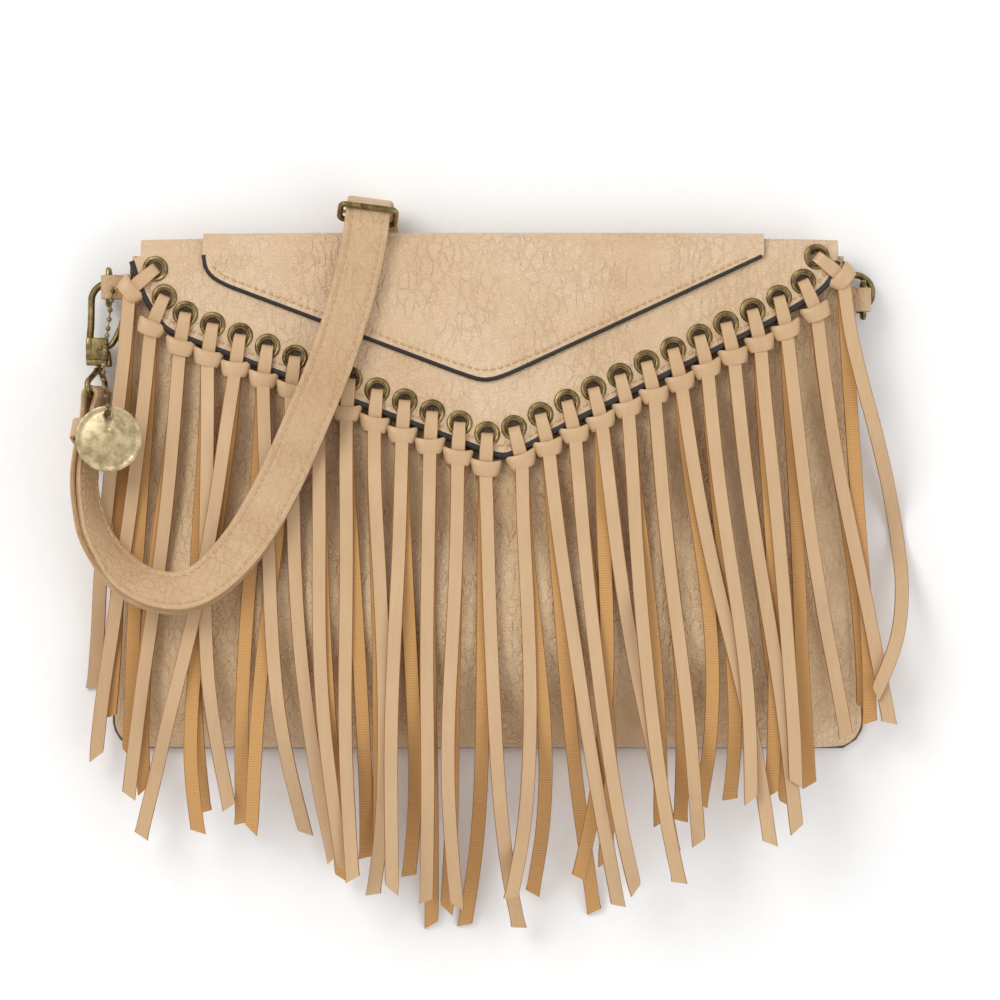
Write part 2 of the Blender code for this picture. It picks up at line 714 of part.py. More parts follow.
def tail_route(stack, k, knot, down, front):
    """One tail, from the knot to its tip."""
    tip_x, tip_y, bend = TAIL_TIPS[k][:3] if front else TAIL_TIPS[k][3:]
    start = np.array([knot[0], knot[1]])
    tip = np.array([tip_x, tip_y], float)
    length = np.linalg.norm(tip - start)
    first = start + np.array([0.2 * (tip[0] - start[0]) + 2.0 * down[0], -0.35 * length])
    second = tip + np.array([bend, length * 0.36])
    flat = cubic(start, first, second, tip, TAIL_POINTS)
    level = float(flap_height(*knot)) + (0.0 if front else KNOT_LEVEL - 1.4)
    points = [np.array([p[0], p[1], level]) for p in flat]
    return lay(stack, points, LACE_WIDTH / 2 + 0.7, LACE_THICKNESS / 2)


def make_laces(stack):
    """Each lace loops through its eyelet and ends in a back tail, laid first, and a front tail."""
    places = eyelet_places()
    knots = [knot_place(k, centre) for k, centre in enumerate(places)]
    for down, knot in knots:
        level = float(flap_height(*knot)) + KNOT_LEVEL
        side = np.array([down[1], -down[0]]) * (KNOT_WIDTH / 2 - KNOT_LENGTH / 2)
        a = (*(knot - side), level)
        b = (*(knot + side), level)
        stack.cover(a, b, KNOT_LENGTH / 2 + 0.6, KNOT_DEPTH / 2)
    routes = {}
    for front in (False, True):
        for k, (down, knot) in enumerate(knots):
            own = tail_route_over_own_knot(stack, k, knot, down, front)
            routes[k, front] = own
            for a, b in zip(own, own[1:]):
                stack.cover(a, b, LACE_WIDTH / 2 + 0.3, LACE_THICKNESS / 2)
    for k, (down, knot) in enumerate(knots):
        centre = places[k]
        meshes = []
        for front in (True, False):
            leg, widths = lace_leg(down, centre, 1 if front else -1)
            points = leg + routes[k, front]
            widths = widths + [LACE_WIDTH] * len(routes[k, front])
            meshes.append(ribbon(f"lace_{k + 1:02d}", points, widths, LACE_THICKNESS))
        level = float(flap_height(*knot)) + KNOT_LEVEL
        lace = finish_object(f"lace_{k + 1:02d}", meshes[0], LACE)
        combine(lace, [meshes[1], knot_mesh(down, knot, level)], "UNION", LACE)


def tail_route_over_own_knot(stack, k, knot, down, front):
    """A tail leaves its own knot from inside, so the knot's cells are taken out of the map for it."""
    kept = stack.top.copy()
    a = (*(knot - down * KNOT_LENGTH), 0.0)
    b = (*(knot + down * (KNOT_LENGTH / 2 + 3.0)), 0.0)
    i, j, _ = stack.cells(a, b, KNOT_WIDTH / 2 + 0.4)
    stack.top[i, j] = np.minimum(stack.top[i, j], float(flap_height(*knot)) - 3.2)
    made = tail_route(stack, k, knot, down, front)
    stack.top = kept
    return made


def make_snap():
    """The two halves of the magnetic snap, between the flap and the front panel."""
    x, y = SNAP_CENTRE
    normal = normal_of(smooth_front, x, y)
    face = Vector((x, y, float(smooth_front(x, y))))
    for name, lift in (("snap_socket", 0.5), ("snap_button", 0.5 + SNAP_THICKNESS + SEAT_GAP)):
        centre = face + normal * (lift + SNAP_THICKNESS / 2)
        finish_object(name, disc(name, centre, normal, SNAP_RADIUS, SNAP_THICKNESS, 20), BRASS)


def hook_frame(origin, turn):
    return Matrix.Translation(Vector(origin)) @ Matrix.Rotation(turn, 4, "Z")


def in_frame(frame, points):
    return [frame @ Vector(p) for p in points]


def hook_body(name, frame):
    """The hook's bent nose on a channel that holds the gate's rivet and the swivel's post."""
    outer = CHEEK_GAP + CHEEK_THICKNESS
    arc_u = HOOK_ARC_RADIUS - 1.3
    nose = [(-1.9, 2.5, 0.0), (-1.5, 8.0, 0.0)]
    for angle in np.linspace(180.0, -5.0, 9):
        a = math.radians(angle)
        nose.append((arc_u + HOOK_ARC_RADIUS * math.cos(a), HOOK_RISE + HOOK_ARC_RADIUS * math.sin(a), 0.0))
    body = finish_object(name, tube(name, in_frame(frame, nose), HOOK_WIRE), BRASS)
    axis = frame.to_3x3() @ Vector((0, 0, 1))
    up = frame.to_3x3() @ Vector((0, 1, 0))
    joins = [
        block("side", (-3.2, -4.7, -outer - 0.2), (-0.8, 4.0, outer + 0.2), frame),
        block("front", (-3.0, -4.5, CHEEK_GAP), (5.0, 3.8, outer), frame),
        block("rear", (-2.8, -4.6, -outer), (4.9, 3.7, -CHEEK_GAP), frame),
        block("web", (-3.1, -6.5, -outer + 0.1), (3.4, -4.2, outer - 0.1), frame),
        disc("rivet", frame @ Vector((*PIVOT, 0.0)), axis, RIVET_RADIUS, 2 * outer + 0.6, 12),
    ]
    combine(body, joins, "UNION", BRASS)
    bore = disc("bore", frame @ Vector((HOOK_AXIS, -5.3, 0.0)), up, 1.25, 4.0, 12)
    combine(body, [bore], "DIFFERENCE", BRASS)
    return body


def hook_gate(name, frame):
    """The lever that closes the hook, on its rivet."""
    axis = frame.to_3x3() @ Vector((0, 0, 1))
    pivot = frame @ Vector((*PIVOT, 0.0))
    gate = finish_object(name, disc(name, pivot, axis, 2.4, 2 * CHEEK_GAP - 0.8, 16), BRASS)
    arm = [(3.0, 0.3, 0.0), (6.4, 1.6, 0.0), (9.6, 8.0, 0.0), (11.6, 15.2, 0.0)]
    thumb = [(3.2, -0.4, 0.0), (4.9, -2.2, 0.0), (5.3, -7.0, 0.0)]
    joins = [tube("arm", in_frame(frame, arm), 1.15), tube("thumb", in_frame(frame, thumb), 1.1)]
    combine(gate, joins, "UNION", BRASS)
    combine(gate, [disc("bore", pivot, axis, RIVET_RADIUS + PIVOT_CLEARANCE, 9.0, 12)], "DIFFERENCE", BRASS)
    return gate


def eye_centre(frame, wide):
    """The middle of the bar that the strap goes round."""
    wide = Vector(wide).normalized()
    shift = EYE_SHIFT if abs(wide.z) > 0.5 else 0.0
    return frame @ Vector((HOOK_AXIS, -EYE_DROP, 0.0)) + wide * shift


def swivel_eye(name, frame, wide):
    """The swivel: a post held in the hook's web and a three-sided loop for the strap."""
    up = frame.to_3x3() @ Vector((0, 1, 0))
    base = frame @ Vector((HOOK_AXIS, 0.0, 0.0))
    wide = Vector(wide).normalized()
    reach = STRAP_WIDTH / 2 + EYE_WIRE + 0.8
    centre = eye_centre(frame, wide)
    corners = [
        base - up * 8.6 - wide * 2.0, centre - wide * reach + up * 4.8, centre - wide * reach + up * 0.9,
        centre - wide * (reach - 0.9), centre + wide * (reach - 0.9), centre + wide * reach + up * 0.9,
        centre + wide * reach + up * 4.8, base - up * 8.6 + wide * 2.0,
    ]
    eye = finish_object(name, tube(name, corners, EYE_WIRE, closed=True), BRASS)
    joins = [
        disc("post", base - up * 6.2, up, 0.9, 5.4, 12),
        disc("head", base - up * 3.55, up, 1.5, 0.8, 12),
    ]
    return combine(eye, joins, "UNION", BRASS)


def d_ring(name, bar_centre):
    """A D-ring on a bar along Y, hanging straight down."""
    x, y, z = bar_centre
    half = RING_WIDTH / 2
    straight = RING_DEPTH - half
    points = [(x, y - half + 1, z), (x, y + half - 1, z), (x, y + half, z - 1)]
    for angle in np.linspace(0.0, -180.0, 8):
        a = math.radians(angle)
        points.append((x, y + half * math.cos(a), z - straight + half * math.sin(a)))
    points.append((x, y - half, z - 1))
    return finish_object(name, tube(name, points, RING_WIRE, closed=True), BRASS)


def ring_tab(name, bar_centre, side):
    """The leather tab, folded round the ring's bar and sewn to the bag's side."""
    x, y, z = bar_centre
    turn = RING_WIRE + 0.35 + TAB_THICKNESS / 2
    wall = side * (float(half_width(y)) + SEAT_GAP)
    route = [(wall, z + 1.2), (x - side * 3.0, z + 1.9)]
    for angle in np.linspace(90.0, -90.0, 6):
        a = math.radians(angle)
        route.append((x + side * turn * math.cos(a), z + turn * math.sin(a)))
    route += [(x - side * 3.0, z - 1.9), (wall, z - 1.2)]
    centres, wides, sides = [], [], []
    for i, (px, pz) in enumerate(route):
        ax, az = route[max(i - 1, 0)]
        bx, bz = route[min(i + 1, len(route) - 1)]
        run = np.array([bx - ax, 0.0, bz - az])
        run = run / np.linalg.norm(run)
        centres.append(np.array([px, y, pz]))
        wides.append(np.array([0.0, TAB_WIDTH / 2, 0.0]))
        sides.append(np.cross(run, [0.0, 1.0, 0.0]) * TAB_THICKNESS / 2)
    return finish_object(name, sweep(name, centres, wides, sides), LEATHER)


def make_side_hardware():
    for side, bar, origin, turn in (
        ("left", LEFT_BAR, LEFT_HOOK, 0.0),
        ("right", RIGHT_BAR, RIGHT_HOOK, RIGHT_HOOK_TURN),
    ):
        frame = hook_frame(origin, turn)
        ring_tab(f"{side}_ring_tab", bar, -1 if side == "left" else 1)
        d_ring(f"{side}_d_ring", bar)
        hook_body(f"{side}_hook_body", frame)
        hook_gate(f"{side}_hook_gate", frame)
        flat = frame.to_3x3() @ Vector((1, 0, 0))
        swivel_eye(f"{side}_swivel_eye", frame, LEFT_EYE_WIDE if side == "left" else flat)


def catmull(rows, step):
    """Even steps along a smooth curve through rows of numbers, the first three being a place."""
    rows = [np.array(r, float) for r in rows]
    made = []
    for i in range(len(rows) - 1):
        p0, p1 = rows[max(i - 1, 0)], rows[i]
        p2, p3 = rows[i + 1], rows[min(i + 2, len(rows) - 1)]
        pieces = max(1, round(float(np.linalg.norm(p2[:3] - p1[:3])) / step))
        for k in range(pieces):
            t = k / pieces
            made.append(
                0.5 * (2 * p1 + (p2 - p0) * t + (2 * p0 - 5 * p1 + 4 * p2 - p3) * t**2
                       + (3 * p1 - p0 - 3 * p2 + p3) * t**3)
            )
    made.append(rows[-1])
    return made


def strap_front_levels(stack, rows):
    """Heights for the strap's visible run, dropped on the stack and no steeper than it can bend."""
    level = [rows[0][2]] * 3 + [0.0] * (len(rows) - 3)
    for i in range(len(rows) - 1):
        roll = math.radians(max(rows[i][4], rows[i + 1][4]))
        low_roll = math.radians(min(rows[i][4], rows[i + 1][4]))
        reach = STRAP_WIDTH / 2 * math.cos(low_roll) + 1.5
        lift = STRAP_WIDTH / 2 * math.sin(roll) + STRAP_THICKNESS + STRAP_LAYER_GAP + LACE_GAP + 0.3
        found = stack.under(rows[i], rows[i + 1], reach) + lift
        level[i] = max(level[i], found)
        level[i + 1] = max(level[i + 1], found)
    for order in (range(1, len(rows)), range(len(rows) - 2, -1, -1)):
        for i in order:
            near = i - order.step
            run = math.dist(rows[i][:2], rows[near][:2])
            level[i] = max(level[i], level[near] - STRAP_SLOPE * run)
    return [rows[0][2]] * 2 + level[2:]


def strap_path(stack):
    """Centre, width direction, face direction and run at each step of the strap."""
    left = eye_centre(hook_frame(LEFT_HOOK, 0.0), LEFT_EYE_WIDE)
    right_frame = hook_frame(RIGHT_HOOK, RIGHT_HOOK_TURN)
    right = eye_centre(right_frame, right_frame.to_3x3() @ Vector((1, 0, 0)))
    front = [[x - TOP_SIDE, y + BODY_HEIGHT, left.z, heading, roll] for x, y, heading, roll in STRAP_FRONT]
    front = catmull(front, STRAP_STEP)
    for row, z in zip(front, strap_front_levels(stack, front)):
        row[2] = z
    back = [[x - TOP_SIDE, y + BODY_HEIGHT, z, heading, 0.0] for x, y, z, heading in STRAP_BACK]
    back.append([right.x, right.y, right.z, math.degrees(RIGHT_HOOK_TURN) + 180.0, 0.0])
    points = front[:-1] + catmull([front[-1], *back], STRAP_STEP)
    made = []
    for i, row in enumerate(points):
        run = points[min(i + 1, len(points) - 1)][:3] - points[max(i - 1, 0)][:3]
        if i == 0:
            run = np.array([0.0, -1.0, 0.0])
        elif i == len(points) - 1:
            run = np.array(right_frame.to_3x3() @ Vector((0, 1, 0)))
        run = run / np.linalg.norm(run)
        heading, roll = math.radians(row[3]), math.radians(row[4])
        wide = np.array([math.cos(heading) * math.cos(roll), math.sin(heading) * math.cos(roll), math.sin(roll)])
        wide = wide - run * (wide @ run)
        wide = wide / np.linalg.norm(wide)
        made.append((row[:3], wide, np.cross(wide, run), run))
    return made


def wrap(place, face, run, wide, turn, start):
    """Half a turn of strap round a bar, from one face to the other."""
    made = []
    for angle in np.linspace(0.0, math.pi, 6)[1:-1]:
        out = face * start * math.cos(angle) + run * math.sin(angle)
        made.append((place + out * turn, wide, -out))
    return made


def make_strap(stack):
    """One long strap: doubled from the slider to the left eye, then over the fold to the right eye."""
    path = strap_path(stack)
    turn = EYE_WIRE + 0.35 + STRAP_THICKNESS / 2
    bar_turn = SLIDER_BAR + 0.35 + STRAP_THICKNESS / 2
    layer = (STRAP_THICKNESS + STRAP_LAYER_GAP) / 2
    travelled = [0.0]
    for (a, *_), (b, *_) in zip(path, path[1:]):
        travelled.append(travelled[-1] + float(np.linalg.norm(b - a)))
    slider = next(i for i, (place, *_) in enumerate(path) if place[1] > SLIDER_Y)
    offsets = []
    for d in travelled:
        to_eye = min(d, travelled[-1] - d)
        to_slider = abs(d - travelled[slider])
        offset = layer + (turn - layer) * float(smooth(1.0 - to_eye / 14.0))
        offsets.append(max(offset, layer + (bar_turn - layer) * float(smooth(1.0 - to_slider / 12.0))))
    ring = []
    for i in range(slider, -1, -1):
        place, wide, face, _ = path[i]
        ring.append((place + face * offsets[i], wide, -face))
    place, wide, face, run = path[0]
    ring += wrap(place, face, -run, wide, turn, 1.0)
    for i, (place, wide, face, _) in enumerate(path):
        ring.append((place - face * offsets[i], wide, face))
    place, wide, face, run = path[-1]
    ring += wrap(place, face, run, wide, turn, -1.0)
    for i in range(len(path) - 1, 0, -1):
        if travelled[-1] - travelled[i] > STRAP_RETURN:
            break
        place, wide, face, _ = path[i]
        ring.append((place + face * offsets[i], wide, -face))
    centres = [p for p, _, _ in ring]
    wides = [w * STRAP_WIDTH / 2 for _, w, _ in ring]
    sides = [s * STRAP_THICKNESS / 2 for _, _, s in ring]
    finish_object("strap", sweep("strap", centres, wides, sides), LEATHER)
    make_slider(path[slider])
    make_keeper(path, travelled)
    for i in range(slider):
        a, wide = path[i][:2]
        flat = STRAP_WIDTH / 2 * math.hypot(wide[0], wide[1]) + STRAP_THICKNESS + 1.5
        keeper = KEEPER_THICKNESS + KEEPER_CLEARANCE if abs(travelled[i] - KEEPER_PLACE) < 14.0 else 0.0
        stack.cover(a, path[i + 1][0], flat, STRAP_WIDTH / 2 * abs(wide[2]) + STRAP_THICKNESS + 0.6 + keeper)


def loop_around(name, station, half_wide, half_deep, wire, finish):
    """A closed frame round the strap, in the plane of its width and its face."""
    place, wide, face, _ = (Vector(v) for v in station)
    cut = min(1.6, half_deep * 0.5)
    corners = []
    for a, b in ((1, 1), (-1, 1), (-1, -1), (1, -1)):
        first = place + wide * a * (half_wide - cut * (a * b < 0)) + face * b * (half_deep - cut * (a * b > 0))
        second = place + wide * a * (half_wide - cut * (a * b > 0)) + face * b * (half_deep - cut * (a * b < 0))
        corners += [first, second]
    return finish_object(name, tube(name, corners, wire, closed=True), finish)


def make_slider(station):
    """The slider that sets the strap's length: a frame round both layers and a bar between them."""
    half_deep = SLIDER_BAR + 0.35 + STRAP_THICKNESS + 0.4 + SLIDER_WIRE
    half_wide = STRAP_WIDTH / 2 + SLIDER_WIRE + 0.9
    slider = loop_around("slider", station, half_wide, half_deep, SLIDER_WIRE, BRASS)
    place, wide = Vector(station[0]), Vector(station[1])
    bar = tube("bar", [place - wide * half_wide, place + wide * half_wide], SLIDER_BAR)
    combine(slider, [bar], "UNION", BRASS)


def make_keeper(path, travelled):
    """The leather keeper that holds both layers together under the left eye."""
    index = min(range(len(path)), key=lambda i: abs(travelled[i] - KEEPER_PLACE))
    place, wide, face, run = path[index]
    layer = (STRAP_THICKNESS + STRAP_LAYER_GAP) / 2
    half_deep = layer + STRAP_THICKNESS / 2 + KEEPER_CLEARANCE + KEEPER_THICKNESS / 2
    half_wide = STRAP_WIDTH / 2 + KEEPER_CLEARANCE + KEEPER_THICKNESS / 2
    centres, wides, sides = [], [], []
    for a, b in ((1, 1), (-1, 1), (-1, -1), (1, -1)):
        centres.append(place + wide * a * half_wide + face * b * half_deep)
        wides.append(run * KEEPER_LENGTH / 2)
        sides.append((wide * a + face * b) * KEEPER_THICKNESS / 2)
    finish_object("strap_keeper", sweep("strap_keeper", centres, wides, sides, closed=True), LEATHER)


def make_charm(stack):
    """The plain round charm and its ball chain, lying on what is under them."""
    x, y = CHARM_CENTRE
    level = stack.under((x, y), (x, y + 0.1), CHARM_RADIUS + 0.5) + LACE_GAP + CHARM_THICKNESS / 2
    charm = finish_object("charm", disc("charm", (x, y, level), (0, 0, 1), CHARM_RADIUS, CHARM_THICKNESS, 32), BRASS)
    hole_y = y + CHARM_RADIUS - CHARM_HOLE_INSET
    hole = disc("hole", (x, hole_y, level), (0, 0, 1), CHARM_HOLE_RADIUS, 6.0, 12)
    combine(charm, [hole], "DIFFERENCE", BRASS)
    stack.cover((x, y, level), (x, y + 0.1, level), CHARM_RADIUS + 0.6, CHARM_THICKNESS / 2)
    make_chain(stack, x, hole_y, level)


def make_chain(stack, hole_x, hole_y, level):
    """The chain's beads and links as one string, from the ring over the hook into the charm's hole."""
    hook = np.array(LEFT_HOOK)
    bar = np.array(LEFT_BAR)
    eye = np.array(eye_centre(hook_frame(LEFT_HOOK, 0.0), LEFT_EYE_WIDE))
    stack.cover(hook + (4.0, -6.0, 0.0), hook + (5.0, 25.0, 0.0), 10.5, 3.6)
    stack.cover(bar - (0.0, 7.5, 0.0), bar + (0.0, 7.5, 0.0), 3.2, 3.0)
    stack.cover(eye, eye + (0.6, 12.0, 0.0), 4.6, STRAP_WIDTH / 2 + 3.2)
    rows = catmull([[x - TOP_SIDE, y + BODY_HEIGHT, 0.0] for x, y in CHAIN_ROUTE], 4.0)
    laid = lay(stack, rows, BEAD_RADIUS + 0.4, BEAD_RADIUS, fixed=0, slope=0.8)
    for y, z in ((2.4, 2.2), (0.7, 2.1), (0.1, 0.9), (0.0, -0.6)):
        laid.append(np.array([hole_x, hole_y + y, level + z]))
    total = line_length(laid)
    beads = round(total / BEAD_PITCH)
    points = [along(laid, total * k / (4 * beads)) for k in range(4 * beads + 1)]
    radii = [(BEAD_NECK_RADIUS, 0.72, BEAD_RADIUS, 0.72)[k % 4] for k in range(4 * beads + 1)]
    finish_object("ball_chain", tube("ball_chain", points, radii, sides=6), BRASS)


def build():
    stack = Stack()
    make_back_panel()
    make_front_panel()
    make_lining()
    make_flap()
    make_yoke()
    make_snap()
    make_side_hardware()
    make_laces(stack)
    stack.add_flap()
    make_strap(stack)
    make_charm(stack)


for old in list(bpy.data.objects):
    bpy.data.objects.remove(old)
PARTS = bpy.data.collections.new("fringed_bag")
CUTTERS = bpy.data.collections.new("cutters")
bpy.context.scene.collection.children.link(PARTS)
bpy.context.scene.collection.children.link(CUTTERS)
BAG = bpy.data.objects.new("bag_origin", None)
PARTS.objects.link(BAG)
BAG.location = (0.0, -BACK_FLAT_LENGTH / 2 * MM, 0.0)
LEATHER = material("pebbled_leather", (0.62, 0.42, 0.24), 0.5)
LACE = material("smooth_lace", (0.64, 0.43, 0.26), 0.55)
LINING = material("lining_cloth", (0.3, 0.22, 0.15), 0.9)
BRASS = material("antique_brass", (0.33, 0.25, 0.12), 0.4, 1.0)
build()
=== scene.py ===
"""The looks of a small fringed shoulder bag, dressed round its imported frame.

Lengths are in millimetres and turned to metres when a mesh is made. X runs along the bag, Y from
its bottom edge to its top fold and Z up from its back panel. The frame's origin is ORIGIN_Y up the bag.
"""

import math

import bmesh
import bpy
import numpy as np
from mathutils import Matrix, Vector


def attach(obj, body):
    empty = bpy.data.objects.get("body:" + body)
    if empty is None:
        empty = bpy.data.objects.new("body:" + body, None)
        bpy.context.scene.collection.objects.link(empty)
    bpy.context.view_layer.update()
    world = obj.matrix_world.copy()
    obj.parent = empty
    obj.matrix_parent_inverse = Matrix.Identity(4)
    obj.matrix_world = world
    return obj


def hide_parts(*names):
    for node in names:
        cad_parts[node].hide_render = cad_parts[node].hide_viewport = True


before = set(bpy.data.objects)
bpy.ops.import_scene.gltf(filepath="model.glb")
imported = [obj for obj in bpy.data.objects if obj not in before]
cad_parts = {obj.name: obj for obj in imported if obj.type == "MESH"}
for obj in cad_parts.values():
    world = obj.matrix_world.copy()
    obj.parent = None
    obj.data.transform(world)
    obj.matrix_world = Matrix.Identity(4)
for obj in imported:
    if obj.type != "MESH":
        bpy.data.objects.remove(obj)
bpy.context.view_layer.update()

MM = 0.001
ORIGIN_Y = 44.0
SEAT_GAP = 0.3
RIM_GAP = 0.6

# Bag body
BODY_BOTTOM_WIDTH = 280.0
BODY_TOP_WIDTH = 264.0
TOP_SIDE = BODY_TOP_WIDTH / 2
BODY_HEIGHT = 183.0
BODY_DEPTH = 32.0
MOUTH_DEPTH = 3.6
CORNER_RADIUS = 11.0
PANEL_THICKNESS = 1.6
BACK_FLAT_LENGTH = 88.0
BACK_RISE = 13.0
PLEAT_HEIGHT = 2.2
PLEAT_SPREAD = 6.5
PLEAT_CENTRES = (-108.0, -84.0, -62.0, -37.0, -14.0, 15.0, 40.0, 61.0, 84.0, 106.0)
WELT_RADIUS = 0.7

# Flap and its laid-on yoke
FLAP_THICKNESS = 2.4
FLAP_STANDOFF = 3.0
FLAP_BACK_LENGTH = 15.0
FOLD_REACH = 9.0
FLAP_LEFT = -128.5
FLAP_RIGHT = 129.5
FLAP_EDGE = (
    (-131.5, 181.0), (-129.5, 174.0), (-125.5, 165.0), (-119.0, 155.5), (6.0, 108.0),
    (28.0, 120.0), (104.0, 158.5), (121.5, 169.0), (126.5, 174.0), (129.0, 181.0),
)
YOKE_THICKNESS = 1.4
YOKE_EDGE = (
    (-105.0, 183.0), (-104.0, 177.0), (-99.0, 173.0), (-9.0, 139.0), (-1.0, 136.5),
    (7.0, 139.0), (95.0, 180.0), (101.0, 182.8),
)
YOKE_LEFT = -105.5
YOKE_RIGHT = 102.0
FLAP_CORNER = 4.0
YOKE_CORNER = 5.0
FLAP_STITCH_INSET = 2.6
YOKE_STITCH_INSET = 2.3
PAINT_PROUD = 0.3

# Eyelets
EYELET_COUNT = 27
EYELET_LINE = (
    (-123.0, 178.0), (-118.5, 164.0), (2.5, 115.5), (113.0, 170.0), (120.0, 176.5), (121.5, 182.5),
)
EYELET_OUTER_RADIUS = 4.8
EYELET_BORE_RADIUS = 3.1
EYELET_PROUD = 0.8
HOLE_RADIUS = EYELET_BORE_RADIUS - 0.15

# Laces
LACE_WIDTH = 5.2
LACE_THICKNESS = 1.3
LACE_NECK_WIDTH = 4.7
LACE_GAP = 0.5
KNOT_DROP = 12.5
KNOT_LENGTH = 5.2
KNOT_WIDTH = 9.4
KNOT_DEPTH = 5.4
KNOT_LEVEL = -0.6
TAIL_POINTS = 9
TAIL_REACH = 80.0
MAP_MARGIN = 35.0
TAIL_SLOPE = 0.5
TIP_SLANT = 1.5

# Each lace has two tails: front tip x, y and its sideways bend, then the same for the back tail.
TAIL_TIPS = (
    (-148, 23, 5, -141, 12, 4), (-145, -3, 6, -134, -2, 3), (-133, -17, 9, -127, -15, -5),
    (-96, -21, -12, -106, -23, -6), (-128, -32, 16, -107, -30, -8), (-68, -31, -14, -92, -27, 1),
    (-57, -40, -16, -88, -29, 3), (-54, -44, -10, -55, -48, -4), (-50, -47, -3, -46, -40, 3),
    (-43, -53, 12, -40, -42, 2), (-36, -51, 0, -30, -47, 7), (-23, -56, 0, -21, -66, -1),
    (-12, -58, -5, -16, -60, 4), (12, -66, -13, -9, -66, 10), (8, -54, 15, 17, -54, 10),
    (48, -57, -10, 39, -61, -8), (55, -51, -16, 44, -42, 5), (68, -38, -12, 34, -47, 16),
    (71, -48, -16, 64, -27, 2), (78, -34, -6, 72, -26, 2), (104, -34, -10, 79, -20, 12),
    (97, -18, -1, 89, -18, 5), (114, -29, -8, 110, -20, -3), (113, -12, 0, 105, -16, 4),
    (132, 5, -10, 119, -13, -3), (149, 10, -12, 139, 15, 2), (143, 21, 28, 141, 10, -1),
)

# Strap
STRAP_WIDTH = 16.5
STRAP_THICKNESS = 1.9
STRAP_LAYER_GAP = 0.6
STRAP_STEP = 9.0
STRAP_SLOPE = 0.62
KEEPER_THICKNESS = 1.4
KEEPER_LENGTH = 8.0
KEEPER_CLEARANCE = 0.8
KEEPER_PLACE = 17.0
SLIDER_WIRE = 1.1
SLIDER_BAR = 0.7
SLIDER_Y = BODY_HEIGHT + 14.5
STRAP_RETURN = 20.0
BEND_CLEARANCE = 0.35
# From the left eye to the slider: x and y from the bag's top left corner, then the direction of the
# strap's width and its roll in degrees
STRAP_FRONT = (
    (-13.6, -51.5, -180, 75), (-15.8, -68.5, -178, 74), (-17.0, -85.0, -172, 70), (-12.5, -103.5, -150, 60),
    (-0.5, -118.5, -122, 48), (14.3, -124.5, -92, 36), (27.5, -121.5, -62, 28), (41.0, -108.5, -42, 14),
    (53.0, -89.0, -30, 4), (64.0, -65.0, -25, 0), (74.0, -40.0, -21, 0), (81.5, -16.5, -17, 0),
    (85.4, 0.0, -12, 0), (86.8, 8.0, -10, 0),
)
# Over the top fold and under the raised back to the right eye: x and y from the same corner, z, then
# the direction of the strap's width
STRAP_BACK = (
    (87.6, 15.0, 26.2, -9), (88.2, 20.6, 20.5, -8), (88.6, 21.8, 13.0, -8), (89.0, 19.0, 5.6, -8),
    (90.0, 11.0, 1.2, -6), (96.0, -10.0, 0.05, 14), (114.0, -26.5, 0.05, 52), (144.0, -32.5, 0.05, 84),
    (177.0, -28.5, 0.05, 98), (207.0, -20.7, 1.7, 101),
)

# Thread
STITCH_PITCH = 2.9
STITCH_LENGTH = 2.1
STITCH_RADIUS = 0.4
STRAP_STITCH_RADIUS = 0.34

# Hooks, rings and charm
HOOK_WIRE = 1.3
HOOK_ARC_RADIUS = 6.6
HOOK_RISE = 17.5
HOOK_AXIS = 1.4
PIVOT = (2.2, 0.0)
CHEEK_GAP = 1.9
CHEEK_THICKNESS = 1.2
RIVET_RADIUS = 0.9
GATE_WIRE = 1.15
PIVOT_CLEARANCE = 0.3
RING_WIRE = 1.0
RING_WIDTH = 13.0
RING_DEPTH = 11.4
TAB_WIDTH = 9.0
TAB_THICKNESS = 1.4
EYE_WIRE = 1.1
EYE_DROP = 17.5
EYE_SHIFT = 2.9
LEFT_BAR = (-TOP_SIDE - 9.0, BODY_HEIGHT - 11.5, 14.5)
LEFT_HOOK = (-TOP_SIDE - 14.3, BODY_HEIGHT - 34.0, 9.5)
LEFT_EYE_WIDE = (-0.26, 0.0, 0.97)
RIGHT_BAR = (TOP_SIDE + 7.5, BODY_HEIGHT - 16.1, 12.7)
RIGHT_HOOK = (TOP_SIDE - 13.7, BODY_HEIGHT - 11.05, 5.4)
RIGHT_HOOK_TURN = math.radians(-80.0)
CHARM_CENTRE = (-TOP_SIDE - 7.5, BODY_HEIGHT - 68.0)
CHARM_HOLE_INSET = 3.2
CHARM_RADIUS = 12.2
CHARM_THICKNESS = 1.2
CHARM_HOLE_RADIUS = 1.6
BEAD_RADIUS = 0.95
BEAD_PITCH = 3.6
LINK_RADIUS = 0.3
CHAIN_ROUTE = (
    (-6.8, -11.3), (-8.0, -20.0), (-9.0, -30.0), (-9.6, -41.0), (-9.0, -50.0), (-7.5, -54.8),
)

# View, in metres, and the brightness of the surround
VIEW_WIDTH = 0.37
VIEW_CENTRE = (0.0044, 0.0485)
VIEW_PLANE = 0.022
CAMERA_RISE = 2.2
WORLD_LEVEL = 0.75

# Place of each finish in a leather piece's list, and the angle past which an edge stays sharp
FACE, RIM, SEAM = 0, 1, 2
SHARP_ANGLE = math.radians(40.0)


def smooth(t):
    """Rises from 0 to 1 with level ends."""
    t = np.clip(t, 0.0, 1.0)
    return t * t * (3.0 - 2.0 * t)


def along(points, distance):
    """The place at a distance along a line of points."""
    for a, b in zip(points, points[1:]):
        a, b = np.array(a, float), np.array(b, float)
        length = np.linalg.norm(b - a)
        if distance <= length + 1e-6:
            return a + (b - a) * distance / length
        distance -= length
    return b


def line_length(points):
    return sum(math.dist(a, b) for a, b in zip(points, points[1:]))


